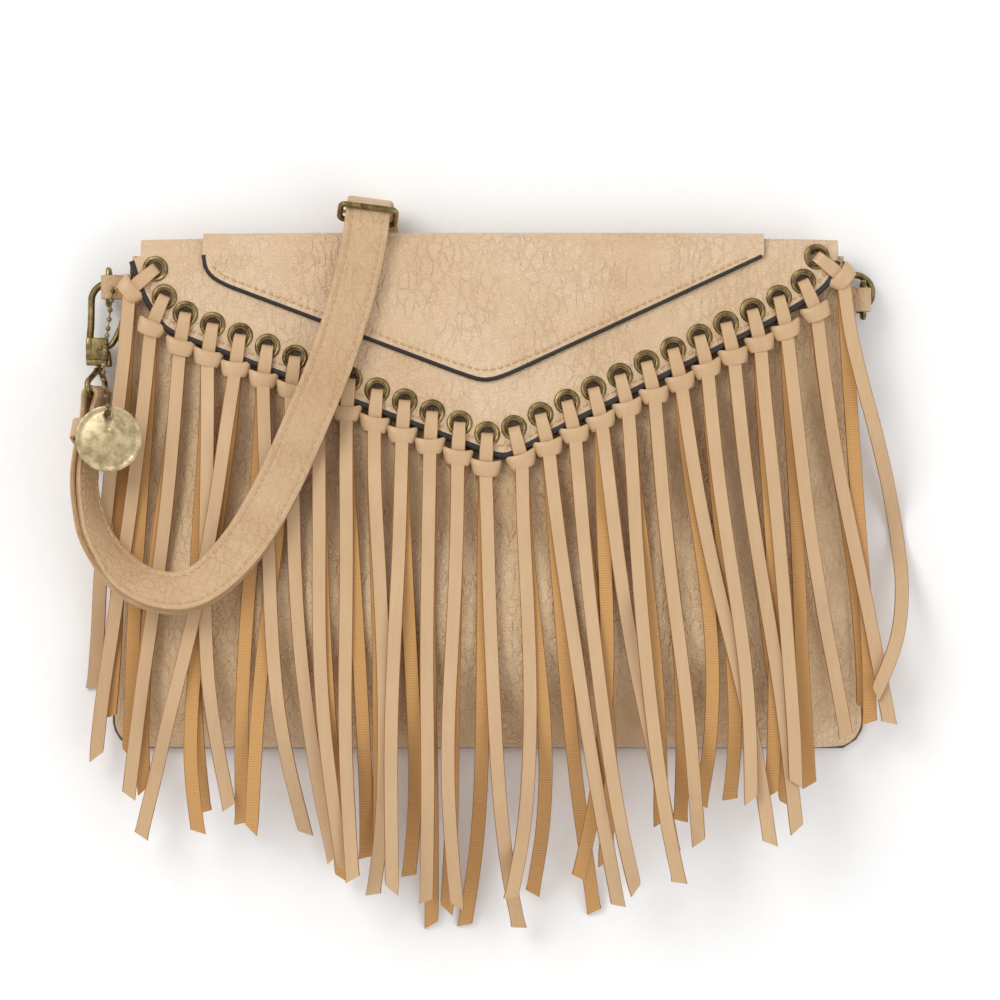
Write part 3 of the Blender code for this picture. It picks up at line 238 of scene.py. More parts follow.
def half_width(y):
    """Half the body's width at a height, with its rounded lower corners."""
    full = (BODY_BOTTOM_WIDTH + (BODY_TOP_WIDTH - BODY_BOTTOM_WIDTH) * y / BODY_HEIGHT) / 2
    below = np.clip(CORNER_RADIUS - y, 0.0, CORNER_RADIUS)
    return full - CORNER_RADIUS + np.sqrt(CORNER_RADIUS**2 - below**2)


def back_height(y):
    """Underside of the back panel: flat, then lifting towards the top fold."""
    return BACK_RISE * smooth((y - BACK_FLAT_LENGTH) / (BODY_HEIGHT - BACK_FLAT_LENGTH))


def fullness(v):
    """How full the bag is from its bottom seam, 0, to its mouth, 1."""
    rise = (1.0 - (1.0 - np.minimum(v / 0.3, 1.0)) ** 2.5) ** 0.6
    fall = 1.0 - (1.0 - MOUTH_DEPTH / BODY_DEPTH) * smooth((v - 0.3) / 0.7)
    return rise * fall


def smooth_front(x, y):
    """The front panel's outer face, without its soft pleats."""
    v = np.clip(y / BODY_HEIGHT, 0.0, 1.0)
    u = np.clip(np.abs(x) / half_width(np.clip(y, 0.0, BODY_HEIGHT)), 0.0, 1.0)
    rim = back_height(y) + PANEL_THICKNESS + RIM_GAP
    return rim + BODY_DEPTH * fullness(v) * (1.0 - u**4) ** 0.6


def edge_height(x):
    """Height of the flap's pointed edge at x."""
    xs = [p[0] for p in FLAP_EDGE]
    ys = [p[1] for p in FLAP_EDGE]
    return np.interp(x, xs, ys)


def front_face(x, y):
    """The front panel's outer face with its pleats, which fade out under the flap."""
    below_flap = smooth((edge_height(x) - 18.0 - y) / 24.0)
    above_seam = smooth(y / 30.0)
    lean = 0.03 * (y - BODY_HEIGHT / 3)
    ripple = sum(np.exp(-(((x - c - lean) / PLEAT_SPREAD) ** 2)) for c in PLEAT_CENTRES)
    side = smooth((half_width(np.clip(y, 0.0, BODY_HEIGHT)) - np.abs(x)) / 16.0)
    return smooth_front(x, y) + PLEAT_HEIGHT * (ripple - 0.5) * below_flap * above_seam * side


def flap_height(x, y):
    """Middle of the flap's thickness over the front panel."""
    return smooth_front(0.93 * x, y) + FLAP_STANDOFF + FLAP_THICKNESS / 2


def normal_of(height, x, y):
    """Upward unit normal of a height field."""
    step = 0.5
    dx = (height(x + step, y) - height(x - step, y)) / (2 * step)
    dy = (height(x, y + step) - height(x, y - step)) / (2 * step)
    return Vector((-float(dx), -float(dy), 1.0)).normalized()


def grid_normals(grid):
    """Unit normals at the points of a grid, pointing up or outwards."""
    along_rows = np.gradient(grid, axis=0)
    along_cols = np.gradient(grid, axis=1)
    normals = np.cross(along_cols, along_rows)
    return normals / np.linalg.norm(normals, axis=2, keepdims=True)


def body_columns(count):
    s = np.linspace(-1.0, 1.0, count + 1)
    return 0.5 * (s + np.sin(s * np.pi / 2))


def flap_sheet(edge, left, right, offset, thickness, columns, rows, back_rows, fold_from):
    """A sheet over the front: pointed edge, top fold and, for the flap, the strip sewn on the back."""
    xs_top = np.linspace(left, right, columns + 1)
    total = line_length(edge)
    bottom = np.array([along(edge, total * k / columns) for k in range(columns + 1)])
    lines = []
    for y in back_rows:
        z = back_height(y) - SEAT_GAP - FLAP_THICKNESS / 2
        lines.append([(x, y, z) for x in xs_top])
    low = back_height(BODY_HEIGHT) - SEAT_GAP - FLAP_THICKNESS / 2
    for angle in np.linspace(fold_from, 90.0, 6)[:-1]:
        a = math.radians(angle)
        line = []
        for x in xs_top:
            high = float(flap_height(x, BODY_HEIGHT))
            middle, radius = (high + low) / 2, (high - low) / 2
            reach = radius + offset
            out = min(reach, 6.0 + offset) * math.cos(a)
            line.append((x, BODY_HEIGHT + out, middle + reach * math.sin(a)))
        lines.append(line)
    for t in np.linspace(0.0, 1.0, rows + 1):
        line = []
        for k, x in enumerate(xs_top):
            px = x + (bottom[k, 0] - x) * t
            py = BODY_HEIGHT + (bottom[k, 1] - BODY_HEIGHT) * t
            line.append((px, py, float(flap_height(px, py)) + offset))
        lines.append(line)
    grid = np.array(lines, float)
    normals = grid_normals(grid)
    if normals[-1, columns // 2, 2] < 0:
        normals = -normals
    return grid + normals * thickness / 2, grid - normals * thickness / 2


def eyelet_places():
    """Centres of the eyelets, evenly spaced along their line."""
    total = line_length(EYELET_LINE)
    return [along(EYELET_LINE, total * k / (EYELET_COUNT - 1)) for k in range(EYELET_COUNT)]


class Stack:
    """A height map in 1 mm cells that shows what already lies under the next piece."""

    def __init__(self):
        side = BODY_BOTTOM_WIDTH / 2 + MAP_MARGIN
        self.x0, self.y0 = -side, -TAIL_REACH
        xs = np.arange(self.x0, side)
        ys = np.arange(self.y0, BODY_HEIGHT + MAP_MARGIN)
        self.gx, self.gy = np.meshgrid(xs, ys, indexing="ij")
        y = np.clip(self.gy, 0, BODY_HEIGHT)
        inside = (self.gy == y) & (np.abs(self.gx) <= half_width(y))
        self.top = np.where(inside, front_face(self.gx, y), 0.0)
        self.spread(3)

    def add_flap(self):
        """The flap with its eyelets, and the yoke on it, down to where both turn over the top fold."""
        y = np.clip(self.gy, 0, BODY_HEIGHT)
        face = flap_height(self.gx, y) + FLAP_THICKNESS / 2
        for edge, left, right, raised in (
            (FLAP_EDGE, FLAP_LEFT - 4.0, FLAP_RIGHT + 1.0, EYELET_PROUD),
            (YOKE_EDGE, YOKE_LEFT - 1.0, YOKE_RIGHT + 1.0, SEAT_GAP + YOKE_THICKNESS),
        ):
            low = np.interp(self.gx, [p[0] for p in edge], [p[1] for p in edge]) - 2.0
            inside = (self.gx > left) & (self.gx < right)
            inside &= (self.gy > low) & (self.gy < BODY_HEIGHT + FOLD_REACH)
            self.top = np.where(inside, np.maximum(self.top, face + raised + 0.3), self.top)

    def spread(self, cells):
        """Widens each height over its neighbours, to cover the facets' chords."""
        wide = self.top.copy()
        for dx in range(-cells, cells + 1):
            for dy in range(-cells, cells + 1):
                wide = np.maximum(wide, np.roll(np.roll(self.top, dx, 0), dy, 1))
        self.top = wide

    def cells(self, a, b, reach):
        """Map cells within reach of a segment, and how far along it each lies."""
        a, b = np.array(a[:2], float), np.array(b[:2], float)
        low = np.floor(np.minimum(a, b) - reach - 1 - (self.x0, self.y0)).astype(int)
        high = np.ceil(np.maximum(a, b) + reach + 1 - (self.x0, self.y0)).astype(int)
        low = np.clip(low, 0, np.array(self.top.shape) - 1)
        high = np.clip(high, 1, np.array(self.top.shape))
        gi, gj = np.meshgrid(np.arange(low[0], high[0]), np.arange(low[1], high[1]), indexing="ij")
        place = np.stack([gi + self.x0, gj + self.y0], -1)
        step = b - a
        t = np.clip(((place - a) @ step) / max(float(step @ step), 1e-9), 0.0, 1.0)
        near = np.linalg.norm(place - a - t[..., None] * step, axis=-1) <= reach
        return gi[near], gj[near], t[near]

    def under(self, a, b, reach):
        i, j, _ = self.cells(a, b, reach)
        return float(self.top[i, j].max())

    def cover(self, a, b, reach, raised):
        """Raises the map to the top of a piece from a to b."""
        i, j, t = self.cells(a, b, reach)
        level = a[2] + (b[2] - a[2]) * t + raised
        self.top[i, j] = np.maximum(self.top[i, j], level)


def lay(stack, points, reach, half, fixed=1, slope=TAIL_SLOPE):
    """Heights for a flexible strip dropped on the stack, no steeper than it can bend."""
    count = len(points)
    level = [0.0] * count
    for i in range(count - 1):
        found = stack.under(points[i], points[i + 1], reach) + LACE_GAP + half
        level[i] = max(level[i], found)
        level[i + 1] = max(level[i + 1], found)
    for i in range(fixed):
        level[i] = points[i][2]
    for i in range(fixed, count):
        run = math.dist(points[i][:2], points[i - 1][:2])
        level[i] = max(level[i], level[i - 1] - slope * run)
    for i in range(count - 2, fixed - 1, -1):
        run = math.dist(points[i][:2], points[i + 1][:2])
        level[i] = max(level[i], level[i + 1] - slope * run)
    return [np.array([p[0], p[1], z]) for p, z in zip(points, level)]


def cubic(p0, p1, p2, p3, count):
    made = []
    for t in np.linspace(0.0, 1.0, count):
        s = 1.0 - t
        made.append(s**3 * p0 + 3 * s * s * t * p1 + 3 * s * t * t * p2 + t**3 * p3)
    return made


def lace_lean(k):
    """How far each lace leans from straight down, in radians, from the left end to the right."""
    ends = {0: -0.88, 1: -0.42, EYELET_COUNT - 2: 0.42, EYELET_COUNT - 1: 0.9}
    middle = EYELET_COUNT // 2
    return ends.get(k, -0.2 + 0.012 * k if k <= middle else 0.24)


def knot_place(k, centre):
    lean = lace_lean(k)
    down = np.array([math.sin(lean), -math.cos(lean)])
    return down, centre + down * KNOT_DROP


def lace_leg(down, centre, side):
    """From the middle of the bore, out of one face of the flap and down over its edge to the knot."""
    half = LACE_THICKNESS / 2
    face = FLAP_THICKNESS / 2
    if side > 0:
        rim = face + EYELET_PROUD + SEAT_GAP + half
        route = ((0.0, -0.4), (0.2, rim - 1.2), (1.9, rim), (5.4, rim), (8.6, rim - 0.7), (10.6, 0.4))
    else:
        back = -face - 0.5 - half
        route = ((0.0, 0.6), (0.4, back + 0.9), (1.9, back), (6.4, back), (10.6, back + 0.1))
    made = []
    for s, h in route:
        x, y = centre + down * s
        made.append(np.array([x, y, float(flap_height(x, y)) + h / normal_of(flap_height, x, y).z]))
    return made, [LACE_NECK_WIDTH] * 3 + [LACE_WIDTH] * (len(route) - 3)


def tail_route(stack, k, knot, down, front):
    """One tail, from the knot to its tip."""
    tip_x, tip_y, bend = TAIL_TIPS[k][:3] if front else TAIL_TIPS[k][3:]
    start = np.array([knot[0], knot[1]])
    tip = np.array([tip_x, tip_y], float)
    length = np.linalg.norm(tip - start)
    first = start + np.array([0.2 * (tip[0] - start[0]) + 2.0 * down[0], -0.35 * length])
    second = tip + np.array([bend, length * 0.36])
    flat = cubic(start, first, second, tip, TAIL_POINTS)
    level = float(flap_height(*knot)) + (0.0 if front else KNOT_LEVEL - 1.4)
    points = [np.array([p[0], p[1], level]) for p in flat]
    return lay(stack, points, LACE_WIDTH / 2 + 0.7, LACE_THICKNESS / 2)


def tail_route_over_own_knot(stack, k, knot, down, front):
    """A tail leaves its own knot from inside, so the knot's cells are taken out of the map for it."""
    kept = stack.top.copy()
    a = (*(knot - down * KNOT_LENGTH), 0.0)
    b = (*(knot + down * (KNOT_LENGTH / 2 + 3.0)), 0.0)
    i, j, _ = stack.cells(a, b, KNOT_WIDTH / 2 + 0.4)
    stack.top[i, j] = np.minimum(stack.top[i, j], float(flap_height(*knot)) - 3.2)
    made = tail_route(stack, k, knot, down, front)
    stack.top = kept
    return made


def hook_place(origin, turn):
    return Matrix.Translation(Vector(origin)) @ Matrix.Rotation(turn, 4, "Z")


def in_place(place, points):
    return [place @ Vector(p) for p in points]


def eye_centre(place, wide):
    """The middle of the bar that the strap goes round."""
    wide = Vector(wide).normalized()
    shift = EYE_SHIFT if abs(wide.z) > 0.5 else 0.0
    return place @ Vector((HOOK_AXIS, -EYE_DROP, 0.0)) + wide * shift


def smooth_line(rows, pieces=1, step=None):
    """A smooth curve through rows that start with a place, in pieces between rows or in even steps."""
    rows = [np.array(r, float) for r in rows]
    made = []
    for i in range(len(rows) - 1):
        p0, p1 = rows[max(i - 1, 0)], rows[i]
        p2, p3 = rows[i + 1], rows[min(i + 2, len(rows) - 1)]
        if step:
            pieces = max(1, round(float(np.linalg.norm(p2[:3] - p1[:3])) / step))
        for k in range(pieces):
            t = k / pieces
            straight = 2 * p1 + (p2 - p0) * t
            bend = (2 * p0 - 5 * p1 + 4 * p2 - p3) * t**2
            made.append(0.5 * (straight + bend + (3 * p1 - p0 - 3 * p2 + p3) * t**3))
    return made + [rows[-1]]


def corner_bend(before, here, after, reach, shares):
    """The points that round one corner of a line off."""
    first, second = np.subtract(before, here), np.subtract(after, here)
    a = min(reach, np.linalg.norm(first) * 0.45) / np.linalg.norm(first)
    b = min(reach, np.linalg.norm(second) * 0.45) / np.linalg.norm(second)
    return [here + first * a * (1 - t) ** 2 + second * b * t**2 for t in shares]


def strap_front_levels(stack, rows):
    """Heights for the strap's visible run, dropped on the stack and no steeper than it can bend."""
    level = [rows[0][2]] * 3 + [0.0] * (len(rows) - 3)
    for i in range(len(rows) - 1):
        roll = math.radians(max(rows[i][4], rows[i + 1][4]))
        low_roll = math.radians(min(rows[i][4], rows[i + 1][4]))
        reach = STRAP_WIDTH / 2 * math.cos(low_roll) + 1.5
        lift = STRAP_WIDTH / 2 * math.sin(roll) + STRAP_THICKNESS + STRAP_LAYER_GAP + LACE_GAP + 0.3
        found = stack.under(rows[i], rows[i + 1], reach) + lift
        level[i] = max(level[i], found)
        level[i + 1] = max(level[i + 1], found)
    for order in (range(1, len(rows)), range(len(rows) - 2, -1, -1)):
        for i in order:
            near = i - order.step
            run = math.dist(rows[i][:2], rows[near][:2])
            level[i] = max(level[i], level[near] - STRAP_SLOPE * run)
    return [rows[0][2]] * 2 + level[2:]


def strap_path(stack):
    """Centre, width direction, face direction and run at each step of the strap."""
    left = eye_centre(hook_place(LEFT_HOOK, 0.0), LEFT_EYE_WIDE)
    right_place = hook_place(RIGHT_HOOK, RIGHT_HOOK_TURN)
    right = eye_centre(right_place, right_place.to_3x3() @ Vector((1, 0, 0)))
    front = [[x - TOP_SIDE, y + BODY_HEIGHT, left.z, heading, roll] for x, y, heading, roll in STRAP_FRONT]
    front = smooth_line(front, step=STRAP_STEP)
    for row, z in zip(front, strap_front_levels(stack, front)):
        row[2] = z
    back = [[x - TOP_SIDE, y + BODY_HEIGHT, z, heading, 0.0] for x, y, z, heading in STRAP_BACK]
    back.append([right.x, right.y, right.z, math.degrees(RIGHT_HOOK_TURN) + 180.0, 0.0])
    points = front[:-1] + smooth_line([front[-1], *back], step=STRAP_STEP)
    made = []
    for i, row in enumerate(points):
        run = points[min(i + 1, len(points) - 1)][:3] - points[max(i - 1, 0)][:3]
        if i == 0:
            run = np.array([0.0, -1.0, 0.0])
        elif i == len(points) - 1:
            run = np.array(right_place.to_3x3() @ Vector((0, 1, 0)))
        run = run / np.linalg.norm(run)
        heading, roll = math.radians(row[3]), math.radians(row[4])
        flat = math.cos(roll)
        wide = np.array([math.cos(heading) * flat, math.sin(heading) * flat, math.sin(roll)])
        wide = wide - run * (wide @ run)
        wide = wide / np.linalg.norm(wide)
        made.append((row[:3], wide, np.cross(wide, run), run))
    return made


def wrap(place, face, run, wide, turn, start):
    """Half a turn of strap round a bar, from one face to the other."""
    made = []
    for angle in np.linspace(0.0, math.pi, 6)[1:-1]:
        out = face * start * math.cos(angle) + run * math.sin(angle)
        made.append((place + out * turn, wide, -out))
    return made


# Gathering shapes into pieces


def to_frame(point):
    """Millimetres on the bag to metres in the frame."""
    return (float(point[0]) * MM, (float(point[1]) - ORIGIN_Y) * MM, float(point[2]) * MM)


def solid(name, shape, finishes):
    """An object from a gathered shape."""
    mesh = bpy.data.meshes.new(name)
    mesh.from_pydata([to_frame(v) for v in shape.verts], [], shape.faces)
    for finish in finishes:
        mesh.materials.append(finish)
    mesh.polygons.foreach_set("material_index", shape.marks)
    fix = bmesh.new()
    fix.from_mesh(mesh)
    bmesh.ops.recalc_face_normals(fix, faces=fix.faces)
    fix.to_mesh(mesh)
    fix.free()
    mesh.shade_smooth()
    mesh.set_sharp_from_angle(angle=SHARP_ANGLE)
    obj = bpy.data.objects.new(name, mesh)
    bpy.context.scene.collection.objects.link(obj)
    return obj


def piece(name, shape, finishes, node=None, body="root"):
    """A finished piece that rides on a body and stands for a node."""
    obj = solid(name, shape, finishes)
    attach(obj, body)
    if node:
        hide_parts(node)
    return obj


def bore(obj, holes, finish):
    """Cuts holes through a piece."""
    cutter = solid(f"{obj.name}_holes", holes, [finish])
    cut = obj.modifiers.new("holes", "BOOLEAN")
    cut.operation, cut.solver, cut.object = "DIFFERENCE", "EXACT", cutter
    graph = bpy.context.evaluated_depsgraph_get()
    graph.update()
    obj.data = bpy.data.meshes.new_from_object(obj.evaluated_get(graph))
    obj.modifiers.clear()
    bpy.data.objects.remove(cutter)


class Shape:
    """Points, faces and each face's finish, gathered from several forms."""

    def __init__(self):
        self.verts, self.faces, self.marks = [], [], []

    def add(self, verts, faces, mark=FACE):
        start = len(self.verts)
        self.verts += list(verts)
        self.faces += [tuple(start + i for i in face) for face in faces]
        self.marks += list(mark) if isinstance(mark, (list, tuple)) else [mark] * len(faces)

    def sheet(self, outer, inner):
        """Two matching grids closed into a sheet with a rim of its own finish."""
        rows, cols = outer.shape[:2]
        half = rows * cols
        faces = []
        for r in range(rows - 1):
            for c in range(cols - 1):
                a, b = r * cols + c, r * cols + c + 1
                d, e = a + cols, b + cols
                faces += [(a, b, e, d), (half + a, half + d, half + e, half + b)]
        rim = [r * cols for r in range(rows)]
        rim += [(rows - 1) * cols + c for c in range(1, cols)]
        rim += [r * cols + cols - 1 for r in range(rows - 2, -1, -1)]
        rim += list(range(cols - 2, 0, -1))
        marks = [FACE] * len(faces) + [RIM] * len(rim)
        faces += [(a, b, half + b, half + a) for a, b in zip(rim, rim[1:] + rim[:1])]
        self.add([*outer.reshape(-1, 3), *inner.reshape(-1, 3)], faces, marks)

    def rings(self, verts, count, size, marks=None, closed=False, end_mark=FACE):
        """Joins rings of points, one after another, into a skin with closed ends."""
        faces, found = [], []
        for i in range(count if closed else count - 1):
            a, b = size * i, size * ((i + 1) % count)
            for k in range(size):
                m = (k + 1) % size
                faces.append((a + k, a + m, b + m, b + k))
                found.append(marks[k] if marks else end_mark)
        if not closed:
            faces += [tuple(range(size - 1, -1, -1)), tuple(size * (count - 1) + k for k in range(size))]
            found += [end_mark, end_mark]
        self.add(verts, faces, found)

    def sweep(self, centres, wides, sides, section, marks, closed=False, end_mark=FACE):
        """A section carried along centres; its points are shares of the width and the side."""
        verts = [c + w * a + s * b for c, w, s in zip(centres, wides, sides) for a, b in section]
        self.rings(verts, len(centres), len(section), marks, closed, end_mark)

    def tube(self, points, radius, closed=False, sides=16, mark=FACE):
        """A round wire along points."""
        points = [Vector(p) for p in points]
        count = len(points)
        across = None
        verts = []
        for i, point in enumerate(points):
            before = points[i - 1] if closed else points[max(i - 1, 0)]
            after = points[(i + 1) % count] if closed else points[min(i + 1, count - 1)]
            tangent = (after - before).normalized()
            if across is None:
                helper = Vector((0, 0, 1)) if abs(tangent.z) < 0.7 else Vector((1, 0, 0))
                across = tangent.cross(helper).normalized()
            across = (across - tangent * across.dot(tangent)).normalized()
            other = tangent.cross(across)
            r = radius[i] if isinstance(radius, (list, tuple)) else radius
            for k in range(sides):
                a = 2 * math.pi * (k + 0.5) / sides
                verts.append(point + (across * math.cos(a) + other * math.sin(a)) * r)
        self.rings(verts, count, sides, closed=closed, end_mark=mark)

    def turned(self, centre, axis, profile, sides=32, closed=False):
        """A turned form from radius and height pairs; open profiles get end caps."""
        axis = Vector(axis).normalized()
        helper = Vector((1, 0, 0)) if abs(axis.x) < 0.7 else Vector((0, 1, 0))
        first = axis.cross(helper).normalized()
        other = axis.cross(first)
        size = len(profile)
        verts = []
        for k in range(sides):
            a = 2 * math.pi * k / sides
            radial = first * math.cos(a) + other * math.sin(a)
            verts += [Vector(centre) + radial * r + axis * h for r, h in profile]
        faces = []
        for k in range(sides):
            n = (k + 1) % sides
            for p in range(size if closed else size - 1):
                q = (p + 1) % size
                faces.append((k * size + p, k * size + q, n * size + q, n * size + p))
        if not closed:
            faces.append(tuple(k * size for k in range(sides - 1, -1, -1)))
            faces.append(tuple(k * size + size - 1 for k in range(sides)))
        self.add(verts, faces)

    def plate(self, low, high, place, round_off):
        """A box with softened edges, in a hook's own frame."""
        made = bmesh.new()
        bmesh.ops.create_cube(made, size=1.0)
        low, high = Vector(low), Vector(high)
        for vert in made.verts:
            vert.co = Vector((low[k] + (vert.co[k] + 0.5) * (high[k] - low[k]) for k in range(3)))
        bmesh.ops.bevel(made, geom=made.edges, offset=round_off, segments=3, affect="EDGES", profile=0.5)
        made.verts.index_update()
        self.add([place @ v.co for v in made.verts], [[v.index for v in f.verts] for f in made.faces])
        made.free()


def stitch_row(shape, points, normals, radius=STITCH_RADIUS, mark=SEAM):
    """A row of thread stitches that sit half sunk along a line."""
    total = line_length(points)
    distances = np.concatenate([[0.0], np.cumsum([math.dist(a, b) for a, b in zip(points, points[1:])])])
    both = np.hstack([np.array(points, float), np.array(normals, float)])
    for k in range(int(total / STITCH_PITCH)):
        route = []
        for share, rise in ((-0.5, -0.7), (-0.3, 0.2), (0.0, 0.4), (0.3, 0.2), (0.5, -0.7)):
            run = (k + 0.5) * STITCH_PITCH + share * STITCH_LENGTH
            here = np.array([np.interp(run, distances, column) for column in both.T])
            route.append(here[:3] + here[3:] * rise * radius)
        shape.tube(route, [radius * 0.6, radius, radius, radius, radius * 0.6], sides=6, mark=mark)


# Finishes


def linear(code):
    """An sRGB hex colour as linear RGBA."""
    channels = [int(code[i : i + 2], 16) / 255 for i in (1, 3, 5)]
    return (*[c / 12.92 if c <= 0.04045 else ((c + 0.055) / 1.055) ** 2.4 for c in channels], 1.0)


def connect(node, inputs):
    """Gives each input of a node a value, or links it to another node's output."""
    for name, value in inputs.items():
        if isinstance(value, bpy.types.NodeSocket):
            node.id_data.links.new(value, node.inputs[name])
        else:
            node.inputs[name].default_value = value


def add(tree, kind, inputs, output=0, **settings):
    """Adds a shader node with its settings and links, and returns one of its outputs."""
    made = tree.nodes.new(f"ShaderNode{kind}")
    for name, value in settings.items():
        setattr(made, name, value)
    connect(made, inputs)
    return made.outputs[output]


def repeats(size):
    """Texture scale, in repeats to a metre, for a pattern whose grain is so many millimetres."""
    return 1 / (size * MM)


def bands(spacing):
    """Scale of a wave texture, which runs 20 radians to a unit, for lines so many millimetres apart."""
    return 2 * math.pi / (20 * spacing * MM)


def finish(name, roughness, metallic=0.0):
    """A new material with its node tree, its shader and the object's own coordinates."""
    made = bpy.data.materials.new(name)
    made.use_nodes = True
    shader = made.node_tree.nodes["Principled BSDF"]
    connect(shader, {"Roughness": roughness, "Metallic": metallic})
    return made, made.node_tree, shader, add(made.node_tree, "TexCoord", {}, "Object")


def grained_leather(name, light, dark, crease_shade, grain=1.3, depth=1.0):
    """Faux leather pressed with a fine pebble and milled soft: low swells and thin irregular creases. The
    crease colour is painted shade, darkest in the creases and the pebble's pits.
    """
    made, tree, shader, place = finish(name, 0.5)
    warp = add(tree, "TexNoise", {"Vector": place, "Scale": repeats(9), "Detail": 4.0}, "Color")
    pull = add(tree, "VectorMath", {0: warp, 1: (6 * MM, 6 * MM, 6 * MM)}, operation="MULTIPLY")
    bent = add(tree, "VectorMath", {0: place, 1: pull}, operation="ADD")
    cells = add(tree, "TexVoronoi", {"Vector": bent, "Scale": repeats(grain)}, feature="DISTANCE_TO_EDGE")
    pebble = add(tree, "MapRange", {"Value": cells, "From Max": 0.3})
    long = add(tree, "Mapping", {"Vector": bent, "Rotation": (0.0, 0.0, 0.5), "Scale": (1.0, 0.45, 1.0)})
    large = add(tree, "TexVoronoi", {"Vector": long, "Scale": repeats(3.4)}, feature="DISTANCE_TO_EDGE")
    where = add(tree, "TexNoise", {"Vector": place, "Scale": repeats(16), "Detail": 2.0})
    fade = add(tree, "MapRange", {"Value": where, "From Min": 0.32, "From Max": 0.62, "To Min": 0.12})
    line = add(tree, "MapRange", {"Value": large, "From Max": 0.16, "To Min": 1.0, "To Max": 0.0})
    fold = add(tree, "Math", {0: line, 1: fade}, operation="MULTIPLY")
    milled = add(tree, "TexNoise", {"Vector": bent, "Scale": repeats(10), "Detail": 5.0, "Roughness": 0.6})
    cloud = add(tree, "TexNoise", {"Vector": place, "Scale": repeats(35), "Detail": 4.0})
    tone = add(tree, "MapRange", {"Value": cloud, "From Min": 0.35, "From Max": 0.65})
    base = add(tree, "Mix", {0: tone, 6: linear(light), 7: linear(dark)}, 2, data_type="RGBA")
    # Painted shade: the sunken creases and the pebble's pits are mixed towards the crease colour.
    pits = add(tree, "MapRange", {"Value": pebble, "From Max": 0.7, "To Min": 0.2, "To Max": 0.0})
    deep = add(tree, "Math", {0: fold, 1: 0.16, 2: pits}, operation="MULTIPLY_ADD")
    wear_and_crease_shade = add(tree, "Mix", {0: deep, 6: base, 7: linear(crease_shade)}, 2, data_type="RGBA")
    pores = add(tree, "TexNoise", {"Vector": place, "Scale": repeats(0.5), "Detail": 2.0})
    sheen = {"Value": pores, "From Min": 0.3, "From Max": 0.7, "To Min": 0.38, "To Max": 0.52}
    swell = add(tree, "Bump", {"Height": milled, "Strength": 0.5 * depth, "Distance": 2.8 * MM})
    broad = {"Height": fold, "Strength": 0.58 * depth, "Distance": 0.45 * MM, "Normal": swell}
    creased = add(tree, "Bump", broad, invert=True)
    fine = {"Height": pebble, "Strength": 0.5 * depth, "Distance": 0.25 * MM, "Normal": creased}
    dull = add(tree, "MapRange", sheen)
    connect(shader, {"Base Color": wear_and_crease_shade, "Roughness": dull, "Normal": add(tree, "Bump", fine)})
    return made


def smooth_lace(name, light, dark):
    """Cut leather lace, smooth face: fine pores and long soft streaks."""
    made, tree, shader, place = finish(name, 0.4)
    long = add(tree, "Mapping", {"Vector": place, "Scale": (1.0, 0.12, 1.0)})
    streak = add(tree, "TexNoise", {"Vector": long, "Scale": repeats(1.6), "Detail": 3.0})
    cloud = add(tree, "TexNoise", {"Vector": place, "Scale": repeats(30), "Detail": 2.0})
    both = add(tree, "Math", {0: streak, 1: cloud}, operation="ADD")
    tone = add(tree, "MapRange", {"Value": both, "From Min": 0.6, "From Max": 1.4})
    shade = add(tree, "Mix", {0: tone, 6: linear(light), 7: linear(dark)}, 2, data_type="RGBA")
    pores = add(tree, "TexNoise", {"Vector": place, "Scale": repeats(0.4), "Detail": 2.0})
    bump = add(tree, "Bump", {"Height": pores, "Strength": 0.25, "Distance": 0.1 * MM})
    connect(shader, {"Base Color": shade, "Normal": bump})
    return made


def ribbed_suede(name, light, dark):
    """The lace's flesh side: matt nap pressed into ribs 0.9 mm apart across its width, its colour darker
    where the ribs and nap sink, as painted shade.
    """
    made, tree, shader, place = finish(name, 0.88)
    wave = {"Vector": place, "Scale": bands(0.9), "Distortion": 1.2, "Detail": 1.0}
    ribs = add(tree, "TexWave", wave, "Fac", bands_direction="Y")
    nap = add(tree, "TexNoise", {"Vector": place, "Scale": repeats(0.6), "Detail": 3.0})
    both = add(tree, "Math", {0: ribs, 1: nap}, operation="ADD")
    tone = add(tree, "MapRange", {"Value": both, "From Min": -0.3, "From Max": 1.9})
    # Painted shade: lighter on the raised ribs and nap, darker in their hollows.
    shade = add(tree, "Mix", {0: tone, 6: linear(dark), 7: linear(light)}, 2, data_type="RGBA")
    bump = add(tree, "Bump", {"Height": both, "Strength": 0.3, "Distance": 0.15 * MM})
    connect(shader, {"Base Color": shade, "Normal": bump, "Sheen Weight": 0.25})
    return made


def edge_paint_and_shade(name, light, dark):
    """Acrylic edge paint, brushed on: half gloss and slightly uneven. The welt's and the strap edges' darker
    colours made with it are painted shade.
    """
    made, tree, shader, place = finish(name, 0.4)
    brush = add(tree, "TexNoise", {"Vector": place, "Scale": repeats(2.5), "Detail": 3.0})
    shade = add(tree, "Mix", {0: brush, 6: linear(light), 7: linear(dark)}, 2, data_type="RGBA")
    bump = add(tree, "Bump", {"Height": brush, "Strength": 0.2, "Distance": 0.2 * MM})
    connect(shader, {"Base Color": shade, "Normal": bump})
    return made


def thread(name, light, dark):
    """Bonded polyester thread: two plies with a slight shine, painted darker in the grooves between the plies
    as shade.
    """
    made, tree, shader, place = finish(name, 0.55)
    ply = add(tree, "TexWave", {"Vector": place, "Scale": bands(0.5)}, "Fac", bands_direction="DIAGONAL")
    # Painted shade: the colour follows the plies' relief, darker in the grooves.
    shade = add(tree, "Mix", {0: ply, 6: linear(dark), 7: linear(light)}, 2, data_type="RGBA")
    bump = add(tree, "Bump", {"Height": ply, "Strength": 0.3, "Distance": 0.1 * MM})
    connect(shader, {"Base Color": shade, "Normal": bump})
    return made


